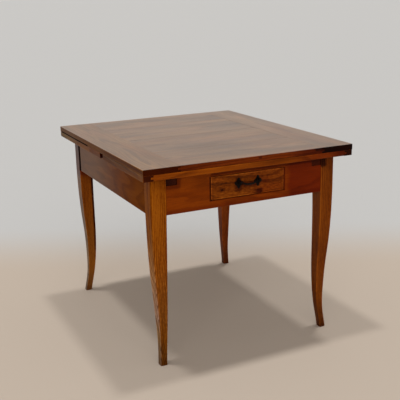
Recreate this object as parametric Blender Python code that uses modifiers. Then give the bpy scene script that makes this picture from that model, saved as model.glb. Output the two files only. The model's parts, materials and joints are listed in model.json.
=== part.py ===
"""Draw-leaf table: a loose clamped top over two sliding leaves, an apron drawer and four sabre legs.

Metres, +Z up. The origin is on the floor under the middle of the table. The drawer faces -Y, and the
leaves draw out along -Y and +Y.
"""

import math

import bmesh
import bpy
from mathutils import Matrix, Vector

# The whole table
TOP_WIDTH = 0.870
TOP_DEPTH = 1.015
TABLE_HEIGHT = 0.780
OVERHANG_X = 0.046
OVERHANG_Y = 0.054

# Gaps between pieces that touch, beside pieces that slide, and a cutter's reach past the face it opens
SEAT_GAP = 0.0003
SLIDE_GAP = 0.0006
CUT_OVERRUN = 0.002

# Loose top: field boards between two wide clamps, on two pegs
TOP_THICK = 0.022
TOP_CLAMP_WIDTH = 0.140
TOP_JOINT_SHARES = (0, 0.245, 0.505, 0.785, 1)
TOP_ROUND = 0.0016
TONGUE_LENGTH = 0.010
TONGUE_THICK = 0.007
PEG_RADIUS = 0.007
PEG_DEPTH = 0.012
PEG_END = 0.010
PEG_PLAY = 0.0005
PEG_CHAMFER = 0.002
PEG_INSET = 0.030

# Leaves and the fixed board between them
LEAF_THICK = 0.0215
LEAF_CLAMP_WIDTH = 0.038
LEAF_JOINT_SHARES = (0, 0.47, 1)
LEAF_ROUND = 0.0045
CENTRE_BOARD_WIDTH = 0.1365
CENTRE_GAP = 0.035
LEAF_CLEARANCE = 0.001

# Leaf runners and the pegs that stop them
RUNNER_WIDTH = 0.0425
RUNNER_DEPTH = 0.0375
RUNNER_RECESS = 0.003
RUNNER_NOSE = 0.010
PAIR_GAP = 0.014
STOP_RADIUS = 0.005
STOP_DROP = 0.012
STOP_DEPTH = 0.020
STOP_MARGIN = 0.015

# Aprons and their tenons
APRON_HEIGHT = 0.145
APRON_THICK = 0.024
APRON_SETBACK = 0.0015
APRON_ROUND = 0.0015
OPEN_JOINT = 0.004
TENON_THICK = 0.010
TENON_APART = 0.011
TENON_RISE = 0.012
TENON_DROP = 0.010

# Legs: square at the aprons, then curved inwards and out again to the foot. The tables run from the
# floor to the aprons' lower edge, and give both outer faces and both inner faces alike. The left feet
# stand a little aside, the front one inwards and the back one outwards.
LEG_SIDE = 0.0594
LEG_ARRIS = 0.007
LEG_CORNER = 0.0012
FRONT_LEFT_DRIFT = 0.009
BACK_LEFT_DRIFT = 0.011
LEG_RINGS = 24
ARRIS_POINTS = 4
DRIFT_START_SHARE = 0.62
LEG_HEIGHT_SHARES = (0, 0.05, 0.12, 0.20, 0.32, 0.47, 0.64, 0.81, 0.92, 1)
LEG_OUTER_SHARES = (0.19, 0.245, 0.32, 0.355, 0.325, 0.25, 0.12, 0.037, 0.012, 0)
LEG_INNER_SHARES = (0.64, 0.69, 0.78, 0.865, 0.94, 0.975, 0.974, 0.974, 0.982, 1)

# Cross rails under the centre board
RAIL_THICK = 0.022
RAIL_SETBACK = 0.004
RAIL_TENON_LENGTH = 0.010
RAIL_TENON_THICK = 0.012
RAIL_SHOULDER = 0.012
FRONT_RAIL_RISE = 0.010
BACK_RAIL_WEB = 0.035

# Drawer
DRAWER_INSET = 0.075
DRAWER_ASIDE = 0.004
DRAWER_HEAD = 0.0275
DRAWER_RISE = 0.031
DRAWER_REVEAL = 0.0022
DRAWER_ROUND = 0.0018
FRONT_THICK = 0.020
SIDE_THICK = 0.012
SIDE_DROP = 0.004
BACK_THICK = 0.011
BACK_DROP = 0.006
PANEL_THICK = 0.006
PANEL_RISE = 0.008
GROOVE_DEPTH = 0.005
TAIL_LENGTH = 0.014
TAIL_FLARE = 0.002
TAIL_SHARE = 0.6
FRONT_TAIL_COUNT = 3
BACK_TAIL_COUNT = 2

# Bearers under the drawer sides, with side guides, and kickers over them
BEARER_THICK = 0.014
BEARER_REACH = 0.010
GUIDE_THICK = 0.012
GUIDE_HEIGHT = 0.030
KICKER_WIDTH = 0.024
KICKER_THICK = 0.018

# Iron pull: two posts with lobed plates, and a bail between them
PULL_SPACING = 0.082
PULL_HEIGHT_SHARE = 0.585
PLATE_WIDTH = 0.033
PLATE_HEIGHT = 0.042
PLATE_THICK = 0.0015
PLATE_LOBE_SHARE = 0.34
PLATE_POINTS = 32
POST_RISE = 0.004
POST_STANDOFF = 0.0125
POST_BALL = 0.0066
POST_COLLAR = 0.0072
POST_NECK = 0.0042
SHANK_RADIUS = 0.0025
SHANK_DEPTH = 0.012
EYE_PLAY = 0.0004
BAIL_END_RADIUS = 0.0028
BAIL_MIDDLE_RADIUS = 0.0040
BAIL_DROP = 0.0095
BAIL_SIDE_CLEARANCE = 0.0035
BAIL_CURVE = 3
BAIL_POINTS = 20

# Layers from the top down
TOP_UNDER = TABLE_HEIGHT - TOP_THICK
LEAF_UNDER = TOP_UNDER - SEAT_GAP - LEAF_THICK
FRAME_TOP = LEAF_UNDER - SEAT_GAP
APRON_UNDER = FRAME_TOP - APRON_HEIGHT

# Places in plan
LEG_X = TOP_WIDTH / 2 - OVERHANG_X
LEG_Y = TOP_DEPTH / 2 - OVERHANG_Y
APRON_X = LEG_X - APRON_SETBACK
APRON_Y = LEG_Y - APRON_SETBACK
APRON_INNER_X = APRON_X - APRON_THICK
APRON_INNER_Y = APRON_Y - APRON_THICK
SHOULDER_X = LEG_X - LEG_SIDE - SEAT_GAP
SHOULDER_Y = LEG_Y - LEG_SIDE - SEAT_GAP
TENON_LENGTH = LEG_SIDE - APRON_SETBACK - (APRON_THICK + TENON_THICK) / 2 - TENON_APART
LEAF_DEPTH = (TOP_DEPTH - CENTRE_BOARD_WIDTH - CENTRE_GAP - SLIDE_GAP) / 2
LEAF_TRAVEL = LEAF_DEPTH + LEAF_CLEARANCE
CENTRE_BACK = TOP_DEPTH / 2 - LEAF_DEPTH - SLIDE_GAP
CENTRE_FRONT = CENTRE_BACK - CENTRE_BOARD_WIDTH
PEG_Y = (CENTRE_FRONT + CENTRE_BACK) / 2
FRONT_RAIL_Y = CENTRE_FRONT + RAIL_SETBACK
BACK_RAIL_Y = CENTRE_BACK - RAIL_SETBACK - RAIL_THICK

# Runners beside the legs carry the front leaf, and the pair inside them carries the back leaf
FRONT_RUNNER_X = LEG_X - LEG_SIDE - SLIDE_GAP - RUNNER_WIDTH / 2
BACK_RUNNER_X = FRONT_RUNNER_X - RUNNER_WIDTH - PAIR_GAP
NOTCH_HALF = RUNNER_WIDTH / 2 + SLIDE_GAP
NOTCH_FLOOR = FRAME_TOP - RUNNER_DEPTH - SEAT_GAP
STOP_FLOOR = NOTCH_FLOOR - STOP_DROP
TENON_TOP = NOTCH_FLOOR - TENON_DROP
FRONT_RAIL_UNDER = APRON_UNDER + FRONT_RAIL_RISE
BACK_RAIL_UNDER = STOP_FLOOR - BACK_RAIL_WEB
PEG_X = BACK_RUNNER_X - RUNNER_WIDTH / 2 - PEG_INSET

# Drawer places
DRAWER_WIDTH = 2 * (BACK_RUNNER_X - RUNNER_WIDTH / 2 - DRAWER_INSET)
DRAWER_HEIGHT = APRON_HEIGHT - DRAWER_RISE - DRAWER_HEAD
DRAWER_UNDER = APRON_UNDER + DRAWER_RISE
DRAWER_DEPTH = FRONT_RAIL_Y - SLIDE_GAP + APRON_Y
SIDE_HEIGHT = DRAWER_HEIGHT - SIDE_DROP
PANEL_TOP = PANEL_RISE + PANEL_THICK
BEARER_TOP = DRAWER_UNDER - SEAT_GAP
GUIDE_X = DRAWER_WIDTH / 2 + SLIDE_GAP
KICKER_UNDER = DRAWER_UNDER + SIDE_HEIGHT + SLIDE_GAP
EYE_RADIUS = BAIL_END_RADIUS + EYE_PLAY

# Colour, roughness and metallic value of each finish
FINISHES = {
    "top": ((0.25, 0.13, 0.07), 0.35, 0.0),
    "leaf": ((0.22, 0.08, 0.02), 0.40, 0.0),
    "frame": ((0.19, 0.06, 0.015), 0.42, 0.0),
    "leg": ((0.24, 0.09, 0.02), 0.40, 0.0),
    "drawer_front": ((0.22, 0.10, 0.03), 0.42, 0.0),
    "inside": ((0.34, 0.20, 0.10), 0.65, 0.0),
    "iron": ((0.03, 0.025, 0.022), 0.50, 0.9),
}

# How an outline's two directions and its extrusion lie along the world's axes
OUTLINE_FRAMES = {
    "X": Matrix(((0, 0, 1, 0), (1, 0, 0, 0), (0, 1, 0, 0), (0, 0, 0, 1))),
    "Y": Matrix(((1, 0, 0, 0), (0, 0, -1, 0), (0, 1, 0, 0), (0, 0, 0, 1))),
    "Z": Matrix.Identity(4),
}
WELD = 0.00001
FLAT_ANGLE = 0.001
TURNED_STEPS = 20
ROUND_STEPS = 2
BALL_POINTS = 9
BALL_STEP = math.radians(16)
SIDE_NAMES = {-1: "left", 1: "right"}


def start_collections():
    """Empties the scene and makes one collection for the parts and one for their tools."""
    for item in list(bpy.data.objects):
        bpy.data.objects.remove(item, do_unlink=True)
    made = []
    for name in ("draw_leaf_table", "draw_leaf_table_tools"):
        collection = bpy.data.collections.new(name)
        bpy.context.scene.collection.children.link(collection)
        made.append(collection)
    return made


PARTS, TOOLS = start_collections()


def material(name, finish):
    """Principled material of one part."""
    colour, roughness, metallic = FINISHES[finish]
    made = bpy.data.materials.new(name)
    made.use_nodes = True
    shader = made.node_tree.nodes["Principled BSDF"]
    shader.inputs["Base Color"].default_value = (*colour, 1)
    shader.inputs["Roughness"].default_value = roughness
    shader.inputs["Metallic"].default_value = metallic
    return made


def add_part(name, data, finish, parent=None, location=(0, 0, 0)):
    """Links a named part with its own material, placed in its parent's frame."""
    part = bpy.data.objects.new(name, data)
    part.parent = parent
    part.location = location
    data.materials.append(material(name, finish))
    PARTS.objects.link(part)
    return part


def add_tool(part, data):
    """Links a tool that shares its part's frame and is left out of the table."""
    tool = bpy.data.objects.new(f"{part.name}_tool", data)
    tool.parent = part
    tool.hide_render = True
    tool.display_type = "WIRE"
    TOOLS.objects.link(tool)
    return tool


def cut(part, data):
    """Takes a tool's shape out of a part."""
    boolean = part.modifiers.new("cut", "BOOLEAN")
    boolean.operation = "DIFFERENCE"
    boolean.object = add_tool(part, data)


def join(part, data):
    """Makes a tool's shape one body with a part."""
    boolean = part.modifiers.new("join", "BOOLEAN")
    boolean.operation = "UNION"
    boolean.object = add_tool(part, data)


def add_empty(name, location, turn=0):
    """Empty that carries a moving body at its joint."""
    empty = bpy.data.objects.new(name, None)
    empty.location = location
    empty.rotation_euler.z = turn
    PARTS.objects.link(empty)
    return empty


def mesh_from(bm, name):
    """Turns an edited mesh into mesh data, with its faces pointing out."""
    bmesh.ops.recalc_face_normals(bm, faces=bm.faces)
    mesh = bpy.data.meshes.new(name)
    bm.to_mesh(mesh)
    bm.free()
    return mesh


def block(low, high, name="block"):
    """Box between two corners."""
    low = Vector(low)
    high = Vector(high)
    size = Matrix.Diagonal((*(high - low), 1))
    bm = bmesh.new()
    bmesh.ops.create_cube(bm, size=1, matrix=Matrix.Translation((low + high) / 2) @ size)
    return mesh_from(bm, name)


def rod(radius, low, high, axis="Z", centre=(0, 0), name="rod"):
    """Cylinder between two places along an axis; centre is in the outline's two directions."""
    bm = bmesh.new()
    bmesh.ops.create_cone(
        bm,
        cap_ends=True,
        segments=TURNED_STEPS,
        radius1=radius,
        radius2=radius,
        depth=high - low,
        matrix=Matrix.Translation((*centre, (low + high) / 2 * (-1 if axis == "Y" else 1))),
    )
    bm.transform(OUTLINE_FRAMES[axis])
    return mesh_from(bm, name)


def extrusion(outline, low, high, axis, name="extrusion"):
    """Extrudes a flat outline between two places along an axis."""
    curve = bpy.data.curves.new(name, "CURVE")
    curve.dimensions = "2D"
    curve.fill_mode = "BOTH"
    curve.extrude = (high - low) / 2
    spline = curve.splines.new("POLY")
    spline.points.add(len(outline) - 1)
    spline.use_cyclic_u = True
    for point, (u, v) in zip(spline.points, outline):
        point.co = (u, v, 0, 1)
    holder = bpy.data.objects.new(name, curve)
    TOOLS.objects.link(holder)
    evaluated = holder.evaluated_get(bpy.context.evaluated_depsgraph_get())
    flat = bpy.data.meshes.new_from_object(evaluated)
    bpy.data.objects.remove(holder)
    bpy.data.curves.remove(curve)
    bm = bmesh.new()
    bm.from_mesh(flat)
    bpy.data.meshes.remove(flat)
    bmesh.ops.remove_doubles(bm, verts=bm.verts, dist=WELD)
    for level in ((low - high) / 2, (high - low) / 2):
        cap = [face for face in bm.faces if all(near(vert.co.z, level) for vert in face.verts)]
        bmesh.ops.dissolve_faces(bm, faces=cap)
    frame = OUTLINE_FRAMES[axis]
    middle = Vector(frame.col[2][:3]) * ((low + high) / 2)
    if axis == "Y":
        middle.negate()
    bm.transform(Matrix.Translation(middle) @ frame)
    return mesh_from(bm, name)


def round_edges(mesh, chosen, radius):
    """Rounds the edges of a mesh whose middle and direction are chosen."""
    bm = bmesh.new()
    bm.from_mesh(mesh)
    edges = []
    for edge in bm.edges:
        start, end = (vert.co for vert in edge.verts)
        if chosen((start + end) / 2, (end - start).normalized()):
            edges.append(edge)
    bmesh.ops.bevel(
        bm, geom=edges, offset=radius, segments=ROUND_STEPS, profile=0.5, affect="EDGES", clamp_overlap=True
    )
    bmesh.ops.triangulate(bm, faces=[face for face in bm.faces if len(face.verts) > 4])
    bm.to_mesh(mesh)
    bm.free()
    return mesh


def near(value, target):
    """Whether two lengths are the same but for rounding."""
    return abs(value - target) < WELD


def level_way(way):
    """Whether an edge runs level."""
    return abs(way.z) < FLAT_ANGLE


def smooth(places, values, at):
    """Value at a place on a smooth curve through a table."""
    last = len(places) - 1
    index = max(k for k in range(last) if places[k] <= at)

    def slope(k):
        before = max(k - 1, 0)
        after = min(k + 1, last)
        return (values[after] - values[before]) / (places[after] - places[before])

    span = places[index + 1] - places[index]
    t = (at - places[index]) / span
    rise = values[index + 1] - values[index]
    start = slope(index) * span
    end = slope(index + 1) * span
    return values[index] + t * start + t * t * (3 * rise - 2 * start - end) + t**3 * (start + end - 2 * rise)


def mirrored_x(outline, side):
    """Outline as drawn for the right side, or its mirror image for the left."""
    return [(side * x, z) for x, z in outline]


# Boards with tongues, and clamps with grooves


def board_outline(half_length, thick):
    """Board end view in X and Z: tongues at both ends, lower face at zero."""
    tongue_low = (thick - TONGUE_THICK) / 2
    tongue_high = (thick + TONGUE_THICK) / 2
    tip = half_length + TONGUE_LENGTH - SEAT_GAP
    right = [
        (half_length, 0),
        (half_length, tongue_low),
        (tip, tongue_low),
        (tip, tongue_high),
        (half_length, tongue_high),
        (half_length, thick),
    ]
    return right + [(-x, z) for x, z in reversed(right)]


def clamp_outline(inner, outer, thick):
    """Clamp end view in X and Z for the right side: a groove in its inner edge."""
    groove_low = (thick - TONGUE_THICK) / 2 - SEAT_GAP
    groove_high = (thick + TONGUE_THICK) / 2 + SEAT_GAP
    floor = inner + TONGUE_LENGTH
    return [
        (inner, 0),
        (outer, 0),
        (outer, thick),
        (inner, thick),
        (inner, groove_high),
        (floor, groove_high),
        (floor, groove_low),
        (inner, groove_low),
    ]


def board(name, half_length, thick, front, back, finish, parent, rounding):
    """Field board between two places in Y, with its free long edges rounded."""
    mesh = extrusion(board_outline(half_length, thick), front, back, "Y", name)
    for free in rounding:
        round_free_edge(mesh, free, thick)
    return add_part(name, mesh, finish, parent)


def round_free_edge(mesh, free, thick):
    """Rounds the long edges along one free side of a board, given as (axis, place, lower, upper)."""
    axis, place, lower, upper = free
    for level, radius in ((0, lower), (thick, upper)):
        round_edges(
            mesh,
            lambda middle, way: near(middle[axis], place) and near(middle.z, level) and level_way(way),
            radius,
        )


def clamp(name, side, inner, outer, thick, front, back, finish, parent, free_ends, lower, upper):
    """Clamp along one side, with its outer edge and free ends rounded."""
    outline = mirrored_x(clamp_outline(inner, outer, thick), side)
    mesh = extrusion(outline, front, back, "Y", name)
    corners = [(side * outer, end) for end in free_ends]
    round_edges(
        mesh,
        lambda middle, way: abs(way.z) > 1 - FLAT_ANGLE
        and any(near(middle.x, x) and near(middle.y, y) for x, y in corners),
        lower,
    )
    free = [(0, side * outer)] + [(1, end) for end in free_ends]
    for level, radius in ((0, lower), (thick, upper)):
        round_edges(
            mesh,
            lambda middle, way: near(middle.z, level) and level_way(way) and outermost(middle, free, lower),
            radius,
        )
    return add_part(name, mesh, finish, parent)


def outermost(middle, free, corner):
    """Whether an edge lies on a free side, or on the rounded corner between two of them."""
    away = [abs(middle[axis] - place) for axis, place in free]
    if min(away) < WELD:
        return True
    return away[0] < corner and any(distance < corner for distance in away[1:])


# The loose top


def peg_part(name, radius, length, parent, location, finish):
    """Turned peg with a chamfered lower end, its top at the given place."""
    narrow = radius - PEG_CHAMFER
    profile = [(0, 0), (radius, 0), (radius, PEG_CHAMFER - length), (narrow, -length), (0, -length)]
    return turned_part(name, profile, parent, location, finish)


def turned_part(name, profile, parent, location, finish):
    """Part turned round its own Z axis from a profile of (radius, height), top to bottom."""
    mesh = bpy.data.meshes.new(name)
    points = [(radius, 0, height) for radius, height in profile]
    mesh.from_pydata(points, [(i, i + 1) for i in range(len(points) - 1)], [])
    part = add_part(name, mesh, finish, parent, location)
    screw = part.modifiers.new("turn", "SCREW")
    screw.steps = TURNED_STEPS
    screw.render_steps = TURNED_STEPS
    screw.use_merge_vertices = True
    screw.merge_threshold = WELD
    screw.use_smooth_shade = True
    return part


def build_top():
    """Field boards, clamps and pegs that lift off together."""
    lift = add_empty("top_lift", (0, 0, TOP_UNDER))
    half_depth = TOP_DEPTH / 2
    field_half = TOP_WIDTH / 2 - TOP_CLAMP_WIDTH - SEAT_GAP
    edges = [TOP_DEPTH * share - half_depth for share in TOP_JOINT_SHARES]
    boards = []
    for index, (front, back) in enumerate(zip(edges, edges[1:])):
        front_gap = SEAT_GAP / 2 if index else 0
        back_gap = SEAT_GAP / 2 if back < half_depth else 0
        free = []
        if not index:
            free.append((1, front, TOP_ROUND, TOP_ROUND))
        if not back_gap:
            free.append((1, back, TOP_ROUND, TOP_ROUND))
        name = f"top_board_{index + 1}"
        span = (front + front_gap, back - back_gap)
        boards.append((span, board(name, field_half, TOP_THICK, *span, "top", lift, free)))
    for side in SIDE_NAMES:
        clamp(
            f"top_clamp_{SIDE_NAMES[side]}",
            side,
            field_half + SEAT_GAP,
            TOP_WIDTH / 2,
            TOP_THICK,
            -half_depth,
            half_depth,
            "top",
            lift,
            (-half_depth, half_depth),
            TOP_ROUND,
            TOP_ROUND,
        )
        add_top_peg(side, boards, lift)


def add_top_peg(side, boards, lift):
    """Peg in the field board over the centre board, through the board's hole and a little below."""
    x = side * PEG_X
    length = PEG_DEPTH + LEAF_THICK + PEG_END
    place = (x, PEG_Y, PEG_DEPTH - SEAT_GAP)
    peg_part(f"top_peg_{SIDE_NAMES[side]}", PEG_RADIUS, length, lift, place, "inside")
    for (front, back), part in boards:
        if front < PEG_Y < back:
            cut(part, rod(PEG_RADIUS + SEAT_GAP, -CUT_OVERRUN, PEG_DEPTH, centre=(x, PEG_Y)))


# The leaves, drawn in a frame whose Y runs inwards from the leaf's free edge


def build_leaf(end, turn, hold_face, runner_x):
    """One leaf; hold_face is the inner face of the rail that stops it, from the leaf's free edge."""
    facing = 1 if turn == 0 else -1
    slide = add_empty(f"leaf_{end}_slide", (0, -facing * TOP_DEPTH / 2, LEAF_UNDER), turn)
    field_half = TOP_WIDTH / 2 - LEAF_CLAMP_WIDTH - SEAT_GAP
    edges = [LEAF_DEPTH * share for share in LEAF_JOINT_SHARES]
    for index, name in enumerate(("outer", "inner")):
        front = edges[index] + (SEAT_GAP if index else 0)
        free = [] if index else [(1, 0, LEAF_ROUND, TOP_ROUND)]
        label = f"leaf_{end}_board_{name}"
        board(label, field_half, LEAF_THICK, front, edges[index + 1], "leaf", slide, free)
    for side in SIDE_NAMES:
        label = SIDE_NAMES[side * facing]
        clamp(
            f"leaf_{end}_clamp_{label}",
            side,
            field_half + SEAT_GAP,
            TOP_WIDTH / 2,
            LEAF_THICK,
            0,
            LEAF_DEPTH,
            "leaf",
            slide,
            (0,),
            LEAF_ROUND,
            TOP_ROUND,
        )
        add_runner(end, label, side * runner_x, hold_face, slide)


def add_runner(end, label, x, hold_face, slide):
    """Runner under a leaf, with a peg that meets the rail when the leaf is right out."""
    start = OVERHANG_Y + APRON_SETBACK + RUNNER_RECESS
    stop_y = hold_face + STOP_RADIUS + SEAT_GAP + LEAF_TRAVEL
    finish = stop_y + STOP_RADIUS + STOP_MARGIN
    top = FRAME_TOP - LEAF_UNDER
    low = top - RUNNER_DEPTH
    nose = [(finish - RUNNER_NOSE, low), (finish, low + RUNNER_NOSE), (finish, top)]
    outline = [(start, top), (start, low), *nose]
    half = RUNNER_WIDTH / 2
    name = f"leaf_{end}_runner_{label}"
    runner = add_part(name, extrusion(outline, x - half, x + half, "X", name), "frame", slide)
    cut(runner, rod(STOP_RADIUS + SEAT_GAP, low - CUT_OVERRUN, low + STOP_DEPTH, centre=(x, stop_y)))
    place = (x, stop_y, low + STOP_DEPTH - SEAT_GAP)
    length = STOP_DEPTH + STOP_DROP - SEAT_GAP
    peg_part(f"leaf_{end}_stop_{label}", STOP_RADIUS, length, slide, place, "inside")


# The fixed frame


def leg_section(outer, inner):
    """Section of a leg in X and Y from its outer corner: a soft outer arris and small corners."""
    points = []
    for k in range(ARRIS_POINTS):
        angle = math.pi + math.pi / 2 * k / (ARRIS_POINTS - 1)
        centre = outer + LEG_ARRIS
        points.append((centre + LEG_ARRIS * math.cos(angle), centre + LEG_ARRIS * math.sin(angle)))
    points += [
        (inner - LEG_CORNER, outer),
        (inner, outer + LEG_CORNER),
        (inner, inner - LEG_CORNER),
        (inner - LEG_CORNER, inner),
        (outer + LEG_CORNER, inner),
        (outer, inner - LEG_CORNER),
    ]
    return points


def leg_mesh(name, drift):
    """Leg lofted from the floor to the aprons and straight on; drift is its foot's shift in X and Y."""
    sections = []
    for k in range(LEG_RINGS + 1):
        share = k / LEG_RINGS
        outer = LEG_SIDE * smooth(LEG_HEIGHT_SHARES, LEG_OUTER_SHARES, share)
        inner = LEG_SIDE * smooth(LEG_HEIGHT_SHARES, LEG_INNER_SHARES, share)
        strength = max(1 - share / DRIFT_START_SHARE, 0) ** 2
        sections.append((APRON_UNDER * share, outer, inner, strength))
    sections.append((FRAME_TOP, 0, LEG_SIDE, 0))
    bm = bmesh.new()
    rings = []
    for height, outer, inner, strength in sections:
        shift_x, shift_y = (strength * shift for shift in drift)
        section = leg_section(outer, inner)
        rings.append([bm.verts.new((x + shift_x, y + shift_y, height)) for x, y in section])
    count = len(rings[0])
    for low, high in zip(rings, rings[1:]):
        for k in range(count):
            after = (k + 1) % count
            bm.faces.new((low[k], low[after], high[after], high[k]))
    bm.faces.new(rings[0])
    bm.faces.new(rings[-1])
    return mesh_from(bm, name)


def build_legs():
    """Four legs, each turned so that its own X and Y run inwards from its outer corner."""
    corners = (
        ("leg_front_left", -1, -1, (FRONT_LEFT_DRIFT, 0)),
        ("leg_front_right", 1, -1, (0, 0)),
        ("leg_back_right", 1, 1, (0, 0)),
        ("leg_back_left", -1, 1, (0, -BACK_LEFT_DRIFT)),
    )
    for quarter, (name, side_x, side_y, drift) in enumerate(corners):
        leg = add_part(name, leg_mesh(name, drift), "leg", None, (side_x * LEG_X, side_y * LEG_Y, 0))
        leg.rotation_euler.z = quarter * math.pi / 2
        cut_mortises(leg)


def cut_mortises(leg):
    """Mortises for the two aprons that meet at a leg."""
    near_face = APRON_SETBACK + (APRON_THICK - TENON_THICK) / 2 - SEAT_GAP
    far_face = near_face + TENON_THICK + 2 * SEAT_GAP
    floor = LEG_SIDE - TENON_LENGTH
    mouth = LEG_SIDE + CUT_OVERRUN
    low = APRON_UNDER + TENON_RISE - SEAT_GAP
    high = TENON_TOP + SEAT_GAP
    cut(leg, block((floor, near_face, low), (mouth, far_face, high)))
    cut(leg, block((near_face, floor, low), (far_face, mouth, high)))


def notched_outline(half_length, low, notches, step=None):
    """Rail side view: notches of (centre, floor) in the top edge, mirrored, and a step at each end."""
    right = [(half_length, low)]
    if step:
        start, floor = step
        right += [(half_length, floor), (start, floor), (start, FRAME_TOP)]
    else:
        right.append((half_length, FRAME_TOP))
    for centre, floor in notches:
        right += [
            (centre + NOTCH_HALF, FRAME_TOP),
            (centre + NOTCH_HALF, floor),
            (centre - NOTCH_HALF, floor),
            (centre - NOTCH_HALF, FRAME_TOP),
        ]
    return right + [(-x, z) for x, z in reversed(right)]


def round_lower_edges(mesh, along):
    """Rounds the long lower edges of an apron that runs along X (0) or Y (1)."""
    return round_edges(
        mesh,
        lambda middle, way: near(middle.z, APRON_UNDER) and abs(way[along]) > 1 - FLAT_ANGLE,
        APRON_ROUND,
    )


def build_front_and_back_aprons():
    """Front apron with the drawer opening, back apron plain, both notched for the runners."""
    step = (FRONT_RUNNER_X - NOTCH_HALF, NOTCH_FLOOR)
    front = notched_outline(SHOULDER_X, APRON_UNDER, (), step)
    back = notched_outline(SHOULDER_X, APRON_UNDER, ((BACK_RUNNER_X, NOTCH_FLOOR),))
    for name, outline, start in (("apron_front", front, -APRON_Y), ("apron_back", back, APRON_INNER_Y)):
        mesh = extrusion(outline, start, start + APRON_THICK, "Y", name)
        apron = add_part(name, round_lower_edges(mesh, 0), "frame")
        tenon_face = start + (APRON_THICK - TENON_THICK) / 2
        for side in SIDE_NAMES:
            ends = sorted((side * (SHOULDER_X - CUT_OVERRUN), side * (SHOULDER_X + TENON_LENGTH)))
            join(apron, tenon(ends, (tenon_face, tenon_face + TENON_THICK)))
        if name == "apron_front":
            cut(apron, drawer_opening())


def drawer_opening():
    """Opening in the front apron, wider than the drawer's front by the reveal all round."""
    half = DRAWER_WIDTH / 2 + DRAWER_REVEAL
    low = (DRAWER_ASIDE - half, -APRON_Y - CUT_OVERRUN, DRAWER_UNDER - DRAWER_REVEAL)
    high = (DRAWER_ASIDE + half, -APRON_INNER_Y + CUT_OVERRUN, DRAWER_UNDER + DRAWER_HEIGHT + DRAWER_REVEAL)
    return block(low, high)


def tenon(span_x, span_y):
    """Tenon block at the aprons' own height."""
    low = APRON_UNDER + TENON_RISE
    return block((span_x[0], span_y[0], low), (span_x[1], span_y[1], TENON_TOP))


def build_side_aprons():
    """Side aprons with mortises for the cross rails' tenons."""
    for side in SIDE_NAMES:
        name = f"apron_{SIDE_NAMES[side]}"
        faces = sorted((side * APRON_X, side * APRON_INNER_X))
        back = SHOULDER_Y - (OPEN_JOINT if side < 0 else 0)
        mesh = block((faces[0], -SHOULDER_Y, APRON_UNDER), (faces[1], back, FRAME_TOP), name)
        apron = add_part(name, round_lower_edges(mesh, 1), "frame")
        tenon_face = faces[0] + (APRON_THICK - TENON_THICK) / 2
        for end in (-1, 1):
            ends = sorted((end * (SHOULDER_Y - OPEN_JOINT - CUT_OVERRUN), end * (SHOULDER_Y + TENON_LENGTH)))
            join(apron, tenon((tenon_face, tenon_face + TENON_THICK), ends))
        for rail_y, under in ((FRONT_RAIL_Y, FRONT_RAIL_UNDER), (BACK_RAIL_Y, BACK_RAIL_UNDER)):
            cut(apron, rail_tenon(side, rail_y, under, SEAT_GAP))


def rail_tenon(side, rail_y, under, gap):
    """Stub tenon at one end of a cross rail, or its mortise when a gap is given."""
    inner = APRON_INNER_X - CUT_OVERRUN
    outer = APRON_INNER_X - SEAT_GAP + RAIL_TENON_LENGTH + gap
    xs = sorted((side * inner, side * outer))
    front = rail_y + (RAIL_THICK - RAIL_TENON_THICK) / 2 - gap
    back = front + RAIL_TENON_THICK + 2 * gap
    low = under + RAIL_SHOULDER - gap
    high = STOP_FLOOR - SEAT_GAP + gap
    return block((xs[0], front, low), (xs[1], back, high))


def build_cross_rails():
    """Two rails under the centre board; each is notched deeper for the leaf that it doesn't stop."""
    rails = (
        ("cross_rail_front", FRONT_RAIL_Y, FRONT_RAIL_UNDER, NOTCH_FLOOR, STOP_FLOOR),
        ("cross_rail_back", BACK_RAIL_Y, BACK_RAIL_UNDER, STOP_FLOOR, NOTCH_FLOOR),
    )
    for name, rail_y, under, front_floor, back_floor in rails:
        notches = ((FRONT_RUNNER_X, front_floor), (BACK_RUNNER_X, back_floor))
        outline = notched_outline(APRON_INNER_X - SEAT_GAP, under, notches)
        rail = add_part(name, extrusion(outline, rail_y, rail_y + RAIL_THICK, "Y", name), "inside")
        for side in SIDE_NAMES:
            join(rail, rail_tenon(side, rail_y, under, 0))


def build_centre_board():
    """Board between the leaves, with a hole for each of the top's pegs."""
    half = TOP_WIDTH / 2
    mesh = block((-half, CENTRE_FRONT, LEAF_UNDER), (half, CENTRE_BACK, TOP_UNDER - SEAT_GAP))
    round_edges(mesh, lambda middle, way: near(abs(middle.x), half) and level_way(way), TOP_ROUND)
    centre_board = add_part("centre_board", mesh, "leaf")
    low = LEAF_UNDER - CUT_OVERRUN
    high = TOP_UNDER + CUT_OVERRUN
    for side in SIDE_NAMES:
        cut(centre_board, rod(PEG_RADIUS + PEG_PLAY, low, high, centre=(side * PEG_X, PEG_Y)))


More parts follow.
